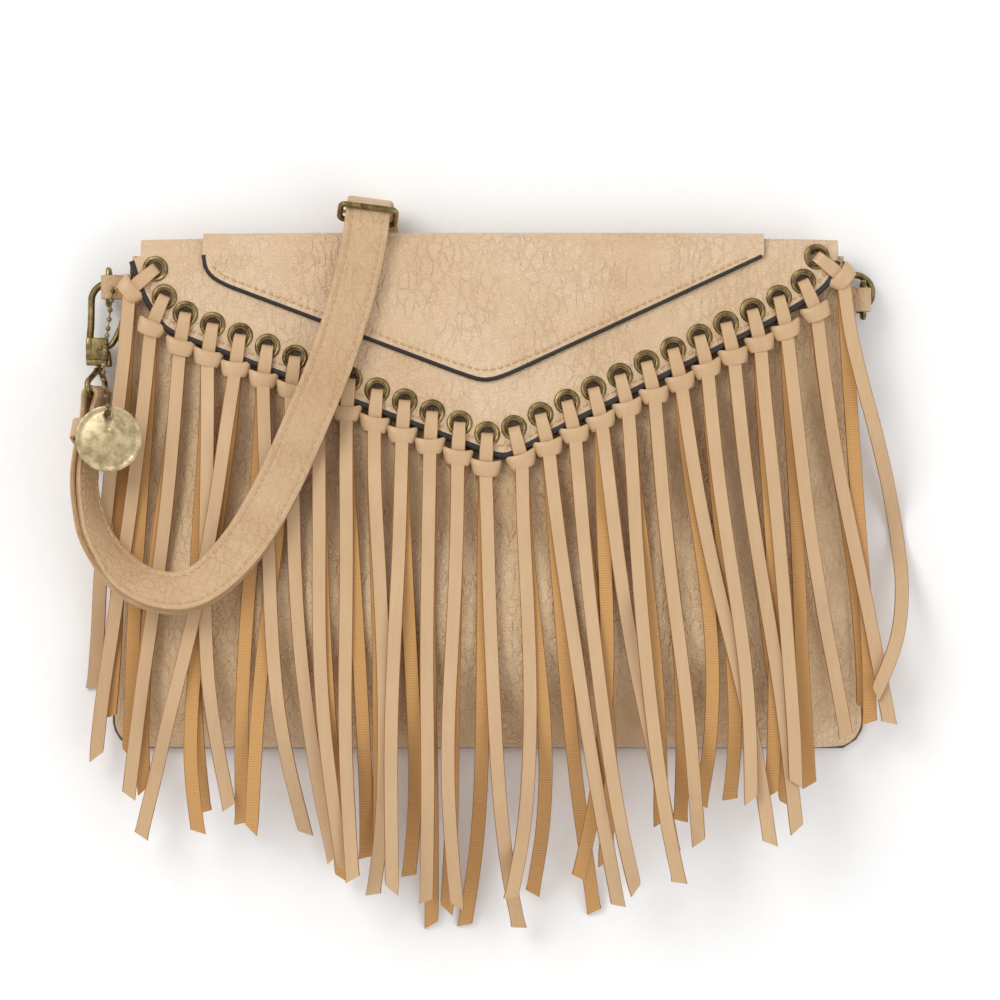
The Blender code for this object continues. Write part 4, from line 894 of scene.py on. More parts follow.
def antique_brass(name, light, dark, roughness=0.36):
    """Plated zinc antiqued and relieved: brown in the hollows, rubbed bright where it is handled."""
    made, tree, shader, place = finish(name, roughness, 1.0)
    cloud = add(tree, "TexNoise", {"Vector": place, "Scale": repeats(4), "Detail": 4.0, "Roughness": 0.65})
    wear_and_crease_shade = add(tree, "MapRange", {"Value": cloud, "From Min": 0.35, "From Max": 0.62})
    shade = add(tree, "Mix", {0: wear_and_crease_shade, 6: linear(dark), 7: linear(light)}, 2, data_type="RGBA")
    dull = add(tree, "MapRange", {"Value": wear_and_crease_shade, "To Min": roughness + 0.16, "To Max": roughness - 0.06})
    pits = add(tree, "TexNoise", {"Vector": place, "Scale": repeats(0.7), "Detail": 2.0})
    bump = add(tree, "Bump", {"Height": pits, "Strength": 0.12, "Distance": 0.1 * MM})
    connect(shader, {"Base Color": shade, "Roughness": dull, "Normal": bump})
    return made


def plain_cloth(name, light, dark):
    """Plain woven cotton lining, threads 0.6 mm apart, painted darker between the threads as shade."""
    made, tree, shader, place = finish(name, 0.9)
    across = add(tree, "TexWave", {"Vector": place, "Scale": bands(0.6)}, "Fac", bands_direction="X")
    up = add(tree, "TexWave", {"Vector": place, "Scale": bands(0.6)}, "Fac", bands_direction="Y")
    weave = add(tree, "Math", {0: across, 1: up}, operation="MULTIPLY")
    # Painted shade: the colour follows the weave's relief, darker between the threads.
    shade = add(tree, "Mix", {0: weave, 6: linear(dark), 7: linear(light)}, 2, data_type="RGBA")
    bump = add(tree, "Bump", {"Height": weave, "Strength": 0.4, "Distance": 0.2 * MM})
    connect(shader, {"Base Color": shade, "Normal": bump})
    return made


# Each grained leather's third colour is painted shade for its creases and pits.
BODY_LEATHER = grained_leather("grained_body_leather", "#E8CBA4", "#DAB98F", "#A5814F", depth=1.2)
FLAP_LEATHER = grained_leather("grained_flap_leather", "#DFC3A2", "#D5B590", "#9C7344", 1.2)
STRAP_LEATHER = grained_leather("grained_strap_leather", "#D0AF8A", "#C5A37B", "#94703F", 1.1, 0.8)
# Painted shade: the turned strap, keeper and tab edges are the same tan leather, darkened for the thin
# shadows along them.
STRAP_SIDE_SHADE = edge_paint_and_shade("turned_strap_edge_shade", "#C09A6C", "#8F6C42")
LACE_FACE = smooth_lace("smooth_lace_face", "#CDAB84", "#C4A178")
LACE_SIDE = edge_paint_and_shade("raw_lace_edge", "#B07C48", "#8E5E33")
LACE_SUEDE = ribbed_suede("ribbed_suede_side", "#D3A468", "#AE7B42")
EDGE = edge_paint_and_shade("dark_edge_paint", "#2A221B", "#15110E")
# Painted shadow: the welt and the panels' cut rims are dark brown for the contact shadow along the bag's
# bottom edge.
WELT_PAINTED_SHADOW = edge_paint_and_shade("dark_welt_painted_shadow", "#6E5438", "#4A3623")
THREAD = thread("tan_thread", "#D6B58C", "#B59262")
BRASS = antique_brass("antique_brass", "#A08C5E", "#57482C")
CHARM_METAL = antique_brass("relieved_charm_metal", "#D2C19C", "#A6946E", 0.5)
CLOTH = plain_cloth("lining_cotton", "#6A5238", "#4A3826")


# Body


def make_seam_welt():
    """The welt that closes the seam between the front and back panels; its dark brown is painted shadow along
    the bag's bottom edge.
    """
    left = [(-half_width(y), y) for y in np.linspace(BODY_HEIGHT - 2, 0.5, 60)]
    right = [(-x, y) for x, y in reversed(left)]
    bottom = [(x, 0.5) for x in np.linspace(left[-1][0] + 2, -left[-1][0] - 2, 90)]
    middle = PANEL_THICKNESS + RIM_GAP / 2 + 0.1
    welt = Shape()
    welt.tube([(x, y, back_height(y) + middle) for x, y in left + bottom + right], WELT_RADIUS, sides=10)
    piece("seam_welt_shadow_line", welt, [WELT_PAINTED_SHADOW])


def wrinkle(x, y):
    """Small soft creases in the gathered front, deepest near the bottom seam."""
    low = np.exp(-((y - 14.0) / 16.0) ** 2)
    ripple = np.sin(x * 0.42 + 2.2 * np.sin(x * 0.05)) * 0.35 + np.sin(x * 0.91 + 1.0) * 0.18
    drape = 0.22 * np.sin(0.11 * x + 0.07 * y) * np.sin(0.05 * x - 0.13 * y + 1.3)
    side = smooth((half_width(np.clip(y, 0.0, BODY_HEIGHT)) - np.abs(x)) / 22.0)
    return (ripple * low + drape) * side * smooth(y / 9.0)


def make_front_panel():
    u = body_columns(170)
    v = np.linspace(0.0, 1.0, 90) ** 1.15
    grid = np.zeros((len(v), len(u), 3))
    for r, row in enumerate(v):
        y = row * BODY_HEIGHT
        x = u * half_width(y)
        grid[r] = np.stack([x, np.full_like(x, y), front_face(x, y) + wrinkle(x, y)], -1)
    inner = grid - grid_normals(grid) * PANEL_THICKNESS
    inner[:, :, 1] = np.clip(inner[:, :, 1], 0.0, BODY_HEIGHT)
    floor = (back_height(grid[:, :, 1]) + PANEL_THICKNESS + 0.05)[:, :, None]
    inner[:, :, 2:] = np.maximum(inner[:, :, 2:], floor)
    inner[0, :, 1] = PANEL_THICKNESS
    inner[:, 0, 0] = grid[:, 0, 0] + PANEL_THICKNESS
    inner[:, -1, 0] = grid[:, -1, 0] - PANEL_THICKNESS
    panel = Shape()
    panel.sheet(grid, inner)
    piece("front_leather", panel, [BODY_LEATHER, WELT_PAINTED_SHADOW], "front_panel")


def make_back_panel():
    corner = np.linspace(0.0, 1.0, 14) ** 2 * CORNER_RADIUS
    ys = np.concatenate([corner, np.linspace(CORNER_RADIUS, BODY_HEIGHT, 60)[1:]])
    under = np.zeros((len(ys), 41, 3))
    for r, y in enumerate(ys):
        xs = np.linspace(-1, 1, 41) * half_width(y)
        under[r] = np.stack([xs, np.full(41, y), np.full(41, back_height(y))], -1)
    panel = Shape()
    panel.sheet(under + np.array([0.0, 0.0, PANEL_THICKNESS]), under)
    piece("back_leather", panel, [BODY_LEATHER, WELT_PAINTED_SHADOW], "back_panel")


# Flap


def softened(edge, reach):
    """An edge line with its corners rounded off."""
    made = [edge[0]]
    for before, here, after in zip(edge, edge[1:], edge[2:]):
        made += corner_bend(before, here, after, reach, (0.0, 0.33, 0.67, 1.0))
    return made + [edge[-1]]


def painted_edge(shape, outer, inner, thickness, mark):
    """The rounded bead of edge paint along a sheet's pointed edge."""
    line = [(a + b) / 2 for a, b in zip(outer[-1], inner[-1])]
    shape.tube(line, thickness / 2 + PAINT_PROUD, sides=12, mark=mark)


def edge_stitches(shape, outer, inset, mark):
    """A stitch line that runs inside the pointed edge of a sheet, on its face."""
    normals = grid_normals(outer)
    if normals[-1, outer.shape[1] // 2, 2] < 0:
        normals = -normals
    points, ups = [], []
    for c in range(3, outer.shape[1] - 3):
        column = outer[:, c]
        gone = 0.0
        r = len(column) - 1
        while r > 1 and gone < inset:
            gone += np.linalg.norm(column[r] - column[r - 1])
            r -= 1
        points.append(column[r])
        ups.append(normals[r, c])
    points = [np.mean(points[max(i - 2, 0) : i + 3], axis=0) for i in range(len(points))]
    stitch_row(shape, points, ups, mark=mark)


def eyelet_profile():
    """Section of an eyelet pressed into the flap: its domed face, its barrel and its turned back."""
    low, high = -FLAP_THICKNESS / 2, FLAP_THICKNESS / 2
    inside, outside = EYELET_BORE_RADIUS, EYELET_OUTER_RADIUS
    middle, half = (inside + outside) / 2, (outside - inside) / 2
    turns = np.linspace(math.pi, 0.0, 11)
    arch = [(middle + half * math.cos(a), high + EYELET_PROUD * math.sin(a)) for a in turns]
    seat = [(outside - 0.3, high - 0.3), (inside + 0.35, high - 0.3), (inside + 0.35, low)]
    return [(inside, low - 0.25), *arch, *seat, (outside - 1.0, low - 0.05), (outside - 1.0, low - 0.3)]


def make_flap():
    back_rows = np.linspace(BODY_HEIGHT - FLAP_BACK_LENGTH, BODY_HEIGHT - 1.0, 8)
    edge = softened(FLAP_EDGE, FLAP_CORNER)
    outer, inner = flap_sheet(edge, FLAP_LEFT, FLAP_RIGHT, 0.0, FLAP_THICKNESS, 190, 70, back_rows, -90.0)
    leather, bead, threads, holes, rims = Shape(), Shape(), Shape(), Shape(), Shape()
    leather.sheet(outer, inner)
    flap = piece("flap_leather", leather, [FLAP_LEATHER, EDGE], "flap")
    painted_edge(bead, outer, inner, FLAP_THICKNESS, FACE)
    piece("flap_edge_paint", bead, [EDGE])
    for x, y in eyelet_places():
        normal = normal_of(flap_height, x, y)
        centre = Vector((x, y, float(flap_height(x, y))))
        holes.turned(centre, normal, [(HOLE_RADIUS, -5.0), (HOLE_RADIUS, 5.0)], sides=28)
        rims.turned(centre, normal, eyelet_profile(), closed=True)
    bore(flap, holes, EDGE)
    edge_stitches(threads, outer, FLAP_STITCH_INSET, FACE)
    piece("flap_stitches", threads, [THREAD])
    piece("eyelets", rims, [BRASS])


def make_yoke():
    lift = FLAP_THICKNESS / 2 + SEAT_GAP + YOKE_THICKNESS / 2 - 0.15
    edge = softened(YOKE_EDGE, YOKE_CORNER)
    outer, inner = flap_sheet(edge, YOKE_LEFT, YOKE_RIGHT, lift, YOKE_THICKNESS + 0.25, 150, 44, (), 0.0)
    yoke = Shape()
    yoke.sheet(outer, inner)
    painted_edge(yoke, outer, inner, YOKE_THICKNESS, RIM)
    edge_stitches(yoke, outer, YOKE_STITCH_INSET, SEAM)
    piece("yoke_leather", yoke, [FLAP_LEATHER, EDGE, THREAD], "flap_yoke")


# Laces

# Shares of half the width and of half the thickness; the laces' finishes are smooth, suede and cut edge
LACE_SECTION = (
    (-1, -0.5), (-0.9, -1), (0, -1), (0.9, -1), (1, -0.5), (1, 0.5), (0.9, 1), (0, 1), (-0.9, 1), (-1, 0.5),
)
LACE_MARKS = {True: (2, 1, 1, 2, 2, 2, 0, 0, 2, 2), False: (2, 0, 0, 2, 2, 2, 1, 1, 2, 2)}
# Down the knot from top to bottom: place in half lengths, how far proud of the tails, share of the width
KNOT_RINGS = (
    (-1.05, -1.3, 1.0), (-1.18, -0.5, 1.05), (-1.12, -0.15, 1.10), (-0.82, 0.12, 1.12), (-0.72, 0.28, 1.11),
    (-0.3, 0.32, 1.05), (0.3, 0.28, 0.97), (0.75, 0.15, 0.90), (0.98, -0.15, 0.86), (1.0, -0.9, 0.82),
)
KNOT_SIDES = 36


def lace_strand(shape, points, widths, face_up, sway):
    """One lace, smooth on one face and suede on the other, slightly twisted and cut slanting at its tip."""
    rows = smooth_line([np.array([*p, w]) for p, w in zip(points, widths)], 5)
    centres = [r[:3] for r in rows]
    wides, sides = [], []
    for i, centre in enumerate(centres):
        run = centres[min(i + 1, len(centres) - 1)] - centres[max(i - 1, 0)]
        run = run / np.linalg.norm(run)
        flat = np.array([run[1], -run[0], 0.0])
        flat = flat / max(np.linalg.norm(flat), 1e-6)
        up = np.cross(flat, run)
        loose = min(1.0, max(0.0, i - 30.0) / 30.0)
        lean = sway * math.sin(i * 0.11 + sway * 60.0) * loose
        centres[i] = centre + flat * (0.7 * math.sin(i * 0.16 + sway * 90.0) * loose)
        wide = flat * math.cos(lean) + up * math.sin(lean)
        wides.append(wide * rows[i][3] / 2)
        sides.append(np.cross(wide, run) * LACE_THICKNESS / 2)
    wides[-1] = wides[-1] + run * math.copysign(TIP_SLANT, sway)
    shape.sweep(centres, wides, sides, LACE_SECTION, LACE_MARKS[face_up], end_mark=2)


def knot_band(shape, down, knot, tilt):
    """The bight of the lace drawn round both tails: a flat band with a lit top edge, narrower below."""
    across = Vector((down[1], -down[0], 0.0))
    along_lace = Vector((down[0], down[1], 0.0))
    middle = Vector((*knot, float(flap_height(*knot)) + KNOT_LEVEL))
    verts = []
    for s, proud, share in KNOT_RINGS:
        for angle in np.linspace(0.0, 2 * math.pi, KNOT_SIDES, endpoint=False):
            ca, sa = math.cos(angle), math.sin(angle)
            px = math.copysign(abs(ca) ** 0.8, ca) * (KNOT_WIDTH / 2 + 0.35 + proud * 0.8) * share
            pz = math.copysign(abs(sa) ** 0.85, sa) * (KNOT_DEPTH / 2 + proud * 0.7)
            bow = 0.5 - 0.035 * px * px * (1.0 if s < 0 else 0.6)
            shift = s * KNOT_LENGTH / 2 + bow + tilt * px * 0.1
            verts.append(middle + across * px + along_lace * shift + Vector((0, 0, pz)))
    shape.rings(verts, len(KNOT_RINGS), KNOT_SIDES)


def make_laces(stack):
    places = eyelet_places()
    knots = [knot_place(k, centre) for k, centre in enumerate(places)]
    for down, knot in knots:
        level = float(flap_height(*knot)) + KNOT_LEVEL
        side = np.array([down[1], -down[0]]) * (KNOT_WIDTH / 2 - KNOT_LENGTH / 2)
        ends = (*(knot - side), level), (*(knot + side), level)
        stack.cover(*ends, KNOT_LENGTH / 2 + 0.6, KNOT_DEPTH / 2)
    routes = {}
    for front in (False, True):
        for k, (down, knot) in enumerate(knots):
            own = tail_route_over_own_knot(stack, k, knot, down, front)
            routes[k, front] = own
            for a, b in zip(own, own[1:]):
                stack.cover(a, b, LACE_WIDTH / 2 + 0.3, LACE_THICKNESS / 2)
    for k, (down, knot) in enumerate(knots):
        lace = Shape()
        for front in (True, False):
            leg, widths = lace_leg(down, places[k], 1 if front else -1)
            sway = 0.16 * math.sin(k * 2.4 + (0.0 if front else 1.7))
            tail = routes[k, front]
            lace_strand(lace, leg + tail, widths + [LACE_WIDTH] * len(tail), front, sway)
        knot_band(lace, down, knot, math.sin(k * 1.9))
        name = f"lace_{k + 1:02d}"
        piece(f"{name}_leather", lace, [LACE_FACE, LACE_SUEDE, LACE_SIDE], name)


# Strap

# Shares of half the strap's width and of half its thickness, with a groove for each row of stitches
STRAP_SECTION = (
    (-1, -0.4), (-0.985, -0.8), (-0.93, -1.05), (-0.84, -1.1), (-0.76, -1.0), (-0.71, -0.82),
    (-0.65, -0.95), (-0.45, -1.08), (0, -1.15), (0.45, -1.08), (0.65, -0.95), (0.71, -0.82),
    (0.76, -1.0), (0.84, -1.1), (0.93, -1.05), (0.985, -0.8), (1, -0.4), (1, 0.45),
    (0.96, 0.85), (0.88, 1), (0, 1), (-0.88, 1), (-0.96, 0.85), (-1, 0.45),
)
STRAP_MARKS = (FACE,) * 16 + (RIM, RIM) + (FACE,) * 4 + (RIM, RIM)
BAND_SECTION = ((-1, -0.5), (-0.94, -1), (0.94, -1), (1, -0.5), (1, 0.5), (0.94, 1), (-0.94, 1), (-1, 0.5))
BAND_MARKS = (RIM, FACE, RIM, RIM, RIM, FACE, RIM, RIM)


def strap_ring(path):
    """The strap's stations from the slider round the left eye to the right one, the slider's and the run."""
    turn = EYE_WIRE + BEND_CLEARANCE + STRAP_THICKNESS / 2
    bar_turn = SLIDER_BAR + BEND_CLEARANCE + STRAP_THICKNESS / 2
    layer = (STRAP_THICKNESS + STRAP_LAYER_GAP) / 2
    travelled = [0.0]
    for (a, *_), (b, *_) in zip(path, path[1:]):
        travelled.append(travelled[-1] + float(np.linalg.norm(b - a)))
    slider = next(i for i, (place, *_) in enumerate(path) if place[1] > SLIDER_Y)
    offsets = []
    for d in travelled:
        to_eye = min(d, travelled[-1] - d)
        offset = layer + (turn - layer) * float(smooth(1.0 - to_eye / 14.0))
        near = float(smooth(1.0 - abs(d - travelled[slider]) / 12.0))
        offsets.append(max(offset, layer + (bar_turn - layer) * near))
    ring = [(path[i][0] + path[i][2] * offsets[i], path[i][1], -path[i][2]) for i in range(slider, -1, -1)]
    place, wide, face, run = path[0]
    ring += wrap(place, face, -run, wide, turn, 1.0)
    ring += [(place - face * offsets[i], wide, face) for i, (place, wide, face, _) in enumerate(path)]
    place, wide, face, run = path[-1]
    ring += wrap(place, face, run, wide, turn, -1.0)
    for i in range(len(path) - 1, 0, -1):
        if travelled[-1] - travelled[i] > STRAP_RETURN:
            break
        place, wide, face, _ = path[i]
        ring.append((place + face * offsets[i], wide, -face))
    return ring, slider, travelled


def make_strap(stack):
    path = strap_path(stack)
    ring, slider, travelled = strap_ring(path)
    centres, wides, sides = [], [], []
    for row in smooth_line([np.concatenate(r) for r in ring], 5):
        centres.append(row[:3])
        wides.append(row[3:6] / np.linalg.norm(row[3:6]) * STRAP_WIDTH / 2)
        sides.append(row[6:9] / np.linalg.norm(row[6:9]) * STRAP_THICKNESS / 2)
    strap = Shape()
    strap.sweep(centres, wides, sides, STRAP_SECTION, STRAP_MARKS, end_mark=RIM)
    for groove in (-0.71, 0.71):
        line = [c + w * groove - s * 0.9 for c, w, s in zip(centres, wides, sides)]
        stitch_row(strap, line, [-s / np.linalg.norm(s) for s in sides], STRAP_STITCH_RADIUS)
    piece("strap_leather", strap, [STRAP_LEATHER, STRAP_SIDE_SHADE, THREAD], "strap")
    make_slider(path[slider])
    make_keeper(path, travelled)
    for i in range(slider):
        a, wide = path[i][:2]
        flat = STRAP_WIDTH / 2 * math.hypot(wide[0], wide[1]) + STRAP_THICKNESS + 1.5
        keeper = KEEPER_THICKNESS + KEEPER_CLEARANCE if abs(travelled[i] - KEEPER_PLACE) < 14.0 else 0.0
        raised = STRAP_WIDTH / 2 * abs(wide[2]) + STRAP_THICKNESS + 0.6 + keeper
        stack.cover(a, path[i + 1][0], flat, raised)


def rounded_loop(place, wide, deep, half_wide, half_deep, radius):
    """Points round a rounded rectangle."""
    made = []
    for a, b, start in ((1, 1, 0.0), (-1, 1, 90.0), (-1, -1, 180.0), (1, -1, 270.0)):
        for angle in np.linspace(start, start + 90.0, 7):
            t = math.radians(angle)
            x = a * (half_wide - radius) + radius * math.cos(t)
            y = b * (half_deep - radius) + radius * math.sin(t)
            made.append(place + wide * x + deep * y)
    return made


def make_slider(station):
    half_deep = SLIDER_BAR + BEND_CLEARANCE + STRAP_THICKNESS + 0.4 + SLIDER_WIRE
    half_wide = STRAP_WIDTH / 2 + SLIDER_WIRE + 0.9
    place, wide, face, _ = station
    slider = Shape()
    slider.tube(rounded_loop(place, wide, face, half_wide, half_deep, 1.8), SLIDER_WIRE, closed=True)
    slider.tube([place - wide * half_wide, place + wide * half_wide], SLIDER_BAR)
    piece("slider_metal", slider, [BRASS], "slider")


def make_keeper(path, travelled):
    index = min(range(len(path)), key=lambda i: abs(travelled[i] - KEEPER_PLACE))
    place, wide, face, run = path[index]
    layer = (STRAP_THICKNESS + STRAP_LAYER_GAP) / 2
    half_deep = layer + STRAP_THICKNESS / 2 + KEEPER_CLEARANCE + KEEPER_THICKNESS / 2
    half_wide = STRAP_WIDTH / 2 + KEEPER_CLEARANCE + KEEPER_THICKNESS / 2
    loop = rounded_loop(place, wide, face, half_wide, half_deep, 1.6)
    sides = []
    for i in range(len(loop)):
        step = loop[(i + 1) % len(loop)] - loop[i - 1]
        sides.append(np.cross(run, step / np.linalg.norm(step)) * KEEPER_THICKNESS / 2)
    keeper = Shape()
    keeper.sweep(loop, [run * KEEPER_LENGTH / 2] * len(loop), sides, BAND_SECTION, BAND_MARKS, closed=True)
    piece("keeper_leather", keeper, [STRAP_LEATHER, STRAP_SIDE_SHADE], "strap_keeper")


# Hooks, rings and charm


def round_corners(points):
    """A closed wire line with its corners bent round."""
    points = [np.array(p, float) for p in points]
    made = []
    for i, here in enumerate(points):
        after = points[(i + 1) % len(points)]
        made += corner_bend(points[i - 1], here, after, 1.6, np.linspace(0.0, 1.0, 4))
    return made


def make_hook_body(side, place, axis):
    """The cast hook with its web, its cheeks and the rivet across them."""
    outer = CHEEK_GAP + CHEEK_THICKNESS
    nose = [(-1.9, 2.5, 0.0), (-1.75, 5.0, 0.0), (-1.5, 8.0, 0.0), (-1.35, 13.0, 0.0)]
    for angle in np.linspace(180.0, -5.0, 28):
        a = math.radians(angle)
        x = HOOK_ARC_RADIUS - 1.3 + HOOK_ARC_RADIUS * math.cos(a)
        nose.append((x, HOOK_RISE + HOOK_ARC_RADIUS * math.sin(a), 0.0))
    taper = [1.05, 1.04, 1.02, 1.0] + [1.0] * 26 + [0.97, 0.85]
    hook = Shape()
    hook.tube(in_place(place, nose), [HOOK_WIRE * r for r in taper], sides=20)
    hook.plate((-3.2, -4.7, -outer - 0.2), (-0.8, 4.0, outer + 0.2), place, 0.6)
    hook.plate((-3.0, -4.5, CHEEK_GAP), (5.0, 3.8, outer), place, 0.4)
    hook.plate((-2.8, -4.6, -outer), (4.9, 3.7, -CHEEK_GAP), place, 0.4)
    hook.plate((-3.1, -6.5, -outer + 0.1), (3.4, -4.2, outer - 0.1), place, 0.5)
    rise = outer + 0.3
    head = [(RIVET_RADIUS, rise - 0.25), (0.7, rise - 0.05), (0.01, rise)]
    rivet = [(r, -h) for r, h in reversed(head)] + head
    hook.turned(place @ Vector((*PIVOT, 0.0)), axis, rivet, sides=20)
    piece(f"{side}_hook_metal", hook, [BRASS], f"{side}_hook_body", f"{side}_hook")


def make_gate(side, place, axis):
    """The sprung gate: its hub on the rivet, its arm up to the nose and its thumb piece."""
    hub = CHEEK_GAP - 0.4
    hole = RIVET_RADIUS + PIVOT_CLEARANCE
    section = [(hole, -hub), (2.2, -hub), (2.4, -hub + 0.2), (2.4, hub - 0.2), (2.2, hub), (hole, hub)]
    gate = Shape()
    gate.turned(place @ Vector((*PIVOT, 0.0)), axis, section, sides=24, closed=True)
    arm = smooth_line([(3.0, 0.3, 0.0), (6.4, 1.6, 0.0), (9.6, 8.0, 0.0), (11.6, 15.2, 0.0)], 6)
    thumb = smooth_line([(3.2, -0.4, 0.0), (4.9, -2.2, 0.0), (5.3, -7.0, 0.0)], 6)
    gate.tube(in_place(place, arm), GATE_WIRE)
    gate.tube(in_place(place, thumb), [1.0] * 9 + [1.1, GATE_WIRE, GATE_WIRE, 0.9])
    piece(f"{side}_gate_metal", gate, [BRASS], f"{side}_hook_gate", f"{side}_gate")


def make_eye(side, place, wide):
    """The swivel eye, a bent wire loop that takes the strap, with its turned stem in the hook's foot."""
    up = place.to_3x3() @ Vector((0, 1, 0))
    base = place @ Vector((HOOK_AXIS, 0.0, 0.0))
    wide = Vector(wide).normalized()
    reach = STRAP_WIDTH / 2 + EYE_WIRE + 0.8
    centre = eye_centre(place, wide)
    half = [base - up * 8.6 + wide * 2.0, centre + wide * reach + up * 4.8, centre + wide * reach + up * 0.9]
    half.append(centre + wide * (reach - 0.9))
    other = [base - up * 8.6 - wide * 2.0, centre - wide * reach + up * 4.8, centre - wide * reach + up * 0.9]
    other.append(centre - wide * (reach - 0.9))
    eye = Shape()
    eye.tube(round_corners(other + half[::-1]), EYE_WIRE, closed=True, sides=18)
    eye.turned(base - up * 6.2, up, [(0.9, -2.7), (0.9, 2.7)], sides=20)
    eye.turned(base - up * 3.55, up, [(1.2, -0.4), (1.5, -0.2), (1.5, 0.2), (1.2, 0.4)], sides=20)
    eye.turned(base - up * 8.0, up, [(1.6, -0.9), (2.0, -0.5), (2.0, 0.3), (1.5, 0.7)], sides=24)
    piece(f"{side}_eye_metal", eye, [BRASS], f"{side}_swivel_eye")


def make_ring(side, bar_centre):
    x, y, z = bar_centre
    half = RING_WIDTH / 2
    straight = RING_DEPTH - half
    points = [(x, y - half + 1, z), (x, y + half - 1, z), (x, y + half - 0.3, z - 0.3), (x, y + half, z - 1)]
    for angle in np.linspace(0.0, -180.0, 24):
        a = math.radians(angle)
        points.append((x, y + half * math.cos(a), z - straight + half * math.sin(a)))
    points += [(x, y - half, z - 1), (x, y - half + 0.3, z - 0.3)]
    ring = Shape()
    ring.tube(points, RING_WIRE, closed=True, sides=18)
    piece(f"{side}_ring_metal", ring, [BRASS], f"{side}_d_ring", f"{side}_ring")


def make_tab(side, bar_centre, outward):
    """The strip of leather that folds round the D-ring's bar and is sewn into the body's side."""
    x, y, z = bar_centre
    turn = RING_WIRE + BEND_CLEARANCE + TAB_THICKNESS / 2
    wall = outward * (float(half_width(y)) + 0.1)
    route = [(wall, z + 1.2), (x - outward * 3.0, z + 1.9)]
    for angle in np.linspace(90.0, -90.0, 16):
        a = math.radians(angle)
        route.append((x + outward * turn * math.cos(a), z + turn * math.sin(a)))
    route += [(x - outward * 3.0, z - 1.9), (wall, z - 1.2)]
    centres, sides = [], []
    for i, (px, pz) in enumerate(route):
        ax, az = route[max(i - 1, 0)]
        bx, bz = route[min(i + 1, len(route) - 1)]
        run = np.array([bx - ax, 0.0, bz - az])
        centres.append(np.array([px, y, pz]))
        sides.append(np.cross(run / np.linalg.norm(run), [0.0, 1.0, 0.0]) * TAB_THICKNESS / 2)
    wides = [np.array([0.0, TAB_WIDTH / 2, 0.0])] * len(route)
    tab = Shape()
    tab.sweep(centres, wides, sides, BAND_SECTION, BAND_MARKS, end_mark=RIM)
    piece(f"{side}_tab_leather", tab, [STRAP_LEATHER, STRAP_SIDE_SHADE], f"{side}_ring_tab")


def make_charm(stack):
    x, y = CHARM_CENTRE
    level = stack.under((x, y), (x, y + 0.1), CHARM_RADIUS + 0.5) + LACE_GAP + CHARM_THICKNESS / 2
    half = CHARM_THICKNESS / 2
    rim = ((0.25, -half), (0, 0.2 - half), (0, half - 0.15), (0.25, half), (1.1, half))
    face = ((1.5, half - 0.22), (2.3, half - 0.22), (2.7, half - 0.08), (CHARM_RADIUS - 0.02, half - 0.05))
    disc, hole = Shape(), Shape()
    disc.turned((x, y, level), (0, 0, 1), [(CHARM_RADIUS - inset, h) for inset, h in rim + face], sides=72)
    charm = piece("charm_metal", disc, [CHARM_METAL], "charm")
    hole_y = y + CHARM_RADIUS - CHARM_HOLE_INSET
    drill = [(CHARM_HOLE_RADIUS, -3.0), (CHARM_HOLE_RADIUS, 3.0)]
    hole.turned((x, hole_y, level), (0, 0, 1), drill, sides=28)
    bore(charm, hole, CHARM_METAL)
    stack.cover((x, y, level), (x, y + 0.1, level), CHARM_RADIUS + 0.6, CHARM_THICKNESS / 2)
    make_chain(stack, x, hole_y, level)


def make_chain(stack, hole_x, hole_y, level):
    hook = np.array(LEFT_HOOK)
    bar = np.array(LEFT_BAR)
    eye = np.array(eye_centre(hook_place(LEFT_HOOK, 0.0), LEFT_EYE_WIDE))
    # The hook, the ring's tab and the swivel eye, which the chain lies on
    stack.cover(hook + (4.0, -6.0, 0.0), hook + (5.0, 25.0, 0.0), 10.5, 3.6)
    stack.cover(bar - (0.0, 7.5, 0.0), bar + (0.0, 7.5, 0.0), 3.2, 3.0)
    stack.cover(eye, eye + (0.6, 12.0, 0.0), 4.6, STRAP_WIDTH / 2 + 3.2)
    route = [[x - TOP_SIDE, y + BODY_HEIGHT, 0.0] for x, y in CHAIN_ROUTE]
    laid = lay(stack, smooth_line(route, step=4.0), BEAD_RADIUS + 0.4, BEAD_RADIUS, fixed=0, slope=0.8)
    for y, z in ((2.4, 2.2), (0.7, 2.1), (0.1, 0.9), (0.0, -0.6)):
        laid.append(np.array([hole_x, hole_y + y, level + z]))
    total = line_length(laid)
    beads = round(total / BEAD_PITCH)
    chain = Shape()
    chain.tube([along(laid, total * k / 60) for k in range(61)], LINK_RADIUS, sides=8)
    ball = bmesh.new()
    bmesh.ops.create_uvsphere(ball, u_segments=16, v_segments=10, radius=BEAD_RADIUS)
    ball.verts.index_update()
    for k in range(beads):
        centre = Vector(along(laid, total * (k + 0.5) / beads))
        chain.add([centre + v.co for v in ball.verts], [[v.index for v in f.verts] for f in ball.faces])
    ball.free()
    piece("ball_chain_metal", chain, [BRASS], "ball_chain")


# Studio


def lamp(name, place, size, power, tint):
    light = bpy.data.lights.new(name, "AREA")
    light.size, light.energy, light.color = size, power, tint
    obj = bpy.data.objects.new(name, light)
    obj.location = place
    target = Vector((0.0, 0.05, 0.02))
    obj.rotation_euler = (target - Vector(place)).to_track_quat("-Z", "Y").to_euler()
    bpy.context.scene.collection.objects.link(obj)


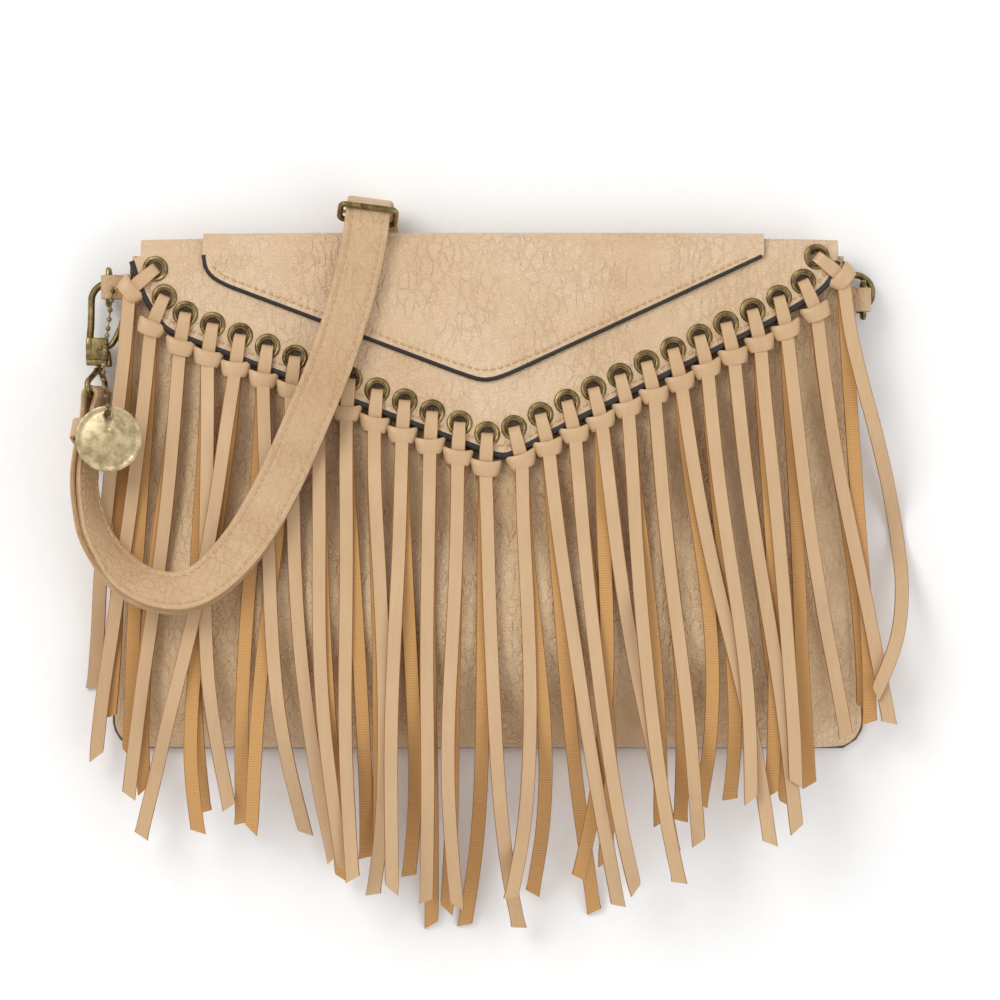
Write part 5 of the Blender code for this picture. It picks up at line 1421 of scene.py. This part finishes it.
def make_floor():
    """White paper on the table, just under the bag."""
    mesh = bpy.data.meshes.new("floor")
    mesh.from_pydata([(-3, -3, 0), (3, -3, 0), (3, 3, 0), (-3, 3, 0)], [], [(0, 1, 2, 3)])
    made, tree, shader, place = finish("white_paper", 0.9)
    speck = add(tree, "TexNoise", {"Vector": place, "Scale": repeats(5)})
    shade = add(tree, "Mix", {0: speck, 6: linear("#FCFCFC"), 7: linear("#F8F8F8")}, 2, data_type="RGBA")
    connect(shader, {"Base Color": shade})
    mesh.materials.append(made)
    floor = bpy.data.objects.new("floor", mesh)
    floor.location = (0.0, 0.0, -0.3 * MM)
    bpy.context.scene.collection.objects.link(floor)


def make_studio():
    """An even white surround, two large soft lamps and a camera straight above."""
    world = bpy.data.worlds.new("studio")
    world.use_nodes = True
    connect(world.node_tree.nodes["Background"], {"Color": (1.0, 1.0, 1.0, 1.0), "Strength": WORLD_LEVEL})
    bpy.context.scene.world = world
    lamp("key", (-0.9, 0.9, 1.5), 0.9, 14.0, (1.0, 0.985, 0.96))
    lamp("fill", (1.1, -0.5, 1.3), 1.2, 5.0, (0.97, 0.985, 1.0))
    camera = bpy.data.cameras.new("camera")
    camera.lens = CAMERA_RISE / VIEW_WIDTH * camera.sensor_width
    camera.clip_end = 20.0
    obj = bpy.data.objects.new("camera", camera)
    obj.location = (VIEW_CENTRE[0], VIEW_CENTRE[1], CAMERA_RISE + VIEW_PLANE)
    bpy.context.scene.collection.objects.link(obj)
    bpy.context.scene.camera = obj
    bpy.context.scene.view_settings.view_transform = "Standard"


make_floor()
make_studio()
stack = Stack()
make_front_panel()
make_back_panel()
make_seam_welt()
make_flap()
make_yoke()
for side, outward, bar, origin, turn in (
    ("left", -1, LEFT_BAR, LEFT_HOOK, 0.0), ("right", 1, RIGHT_BAR, RIGHT_HOOK, RIGHT_HOOK_TURN),
):
    place = hook_place(origin, turn)
    axis = place.to_3x3() @ Vector((0, 0, 1))
    make_hook_body(side, place, axis)
    make_gate(side, place, axis)
    make_eye(side, place, LEFT_EYE_WIDE if side == "left" else place.to_3x3() @ Vector((1, 0, 0)))
    make_ring(side, bar)
    make_tab(side, bar, outward)
make_laces(stack)
stack.add_flap()
make_strap(stack)
make_charm(stack)
for node, metal in (("snap_socket", BRASS), ("snap_button", BRASS), ("lining", CLOTH)):
    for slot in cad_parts[node].material_slots:
        slot.material = metal
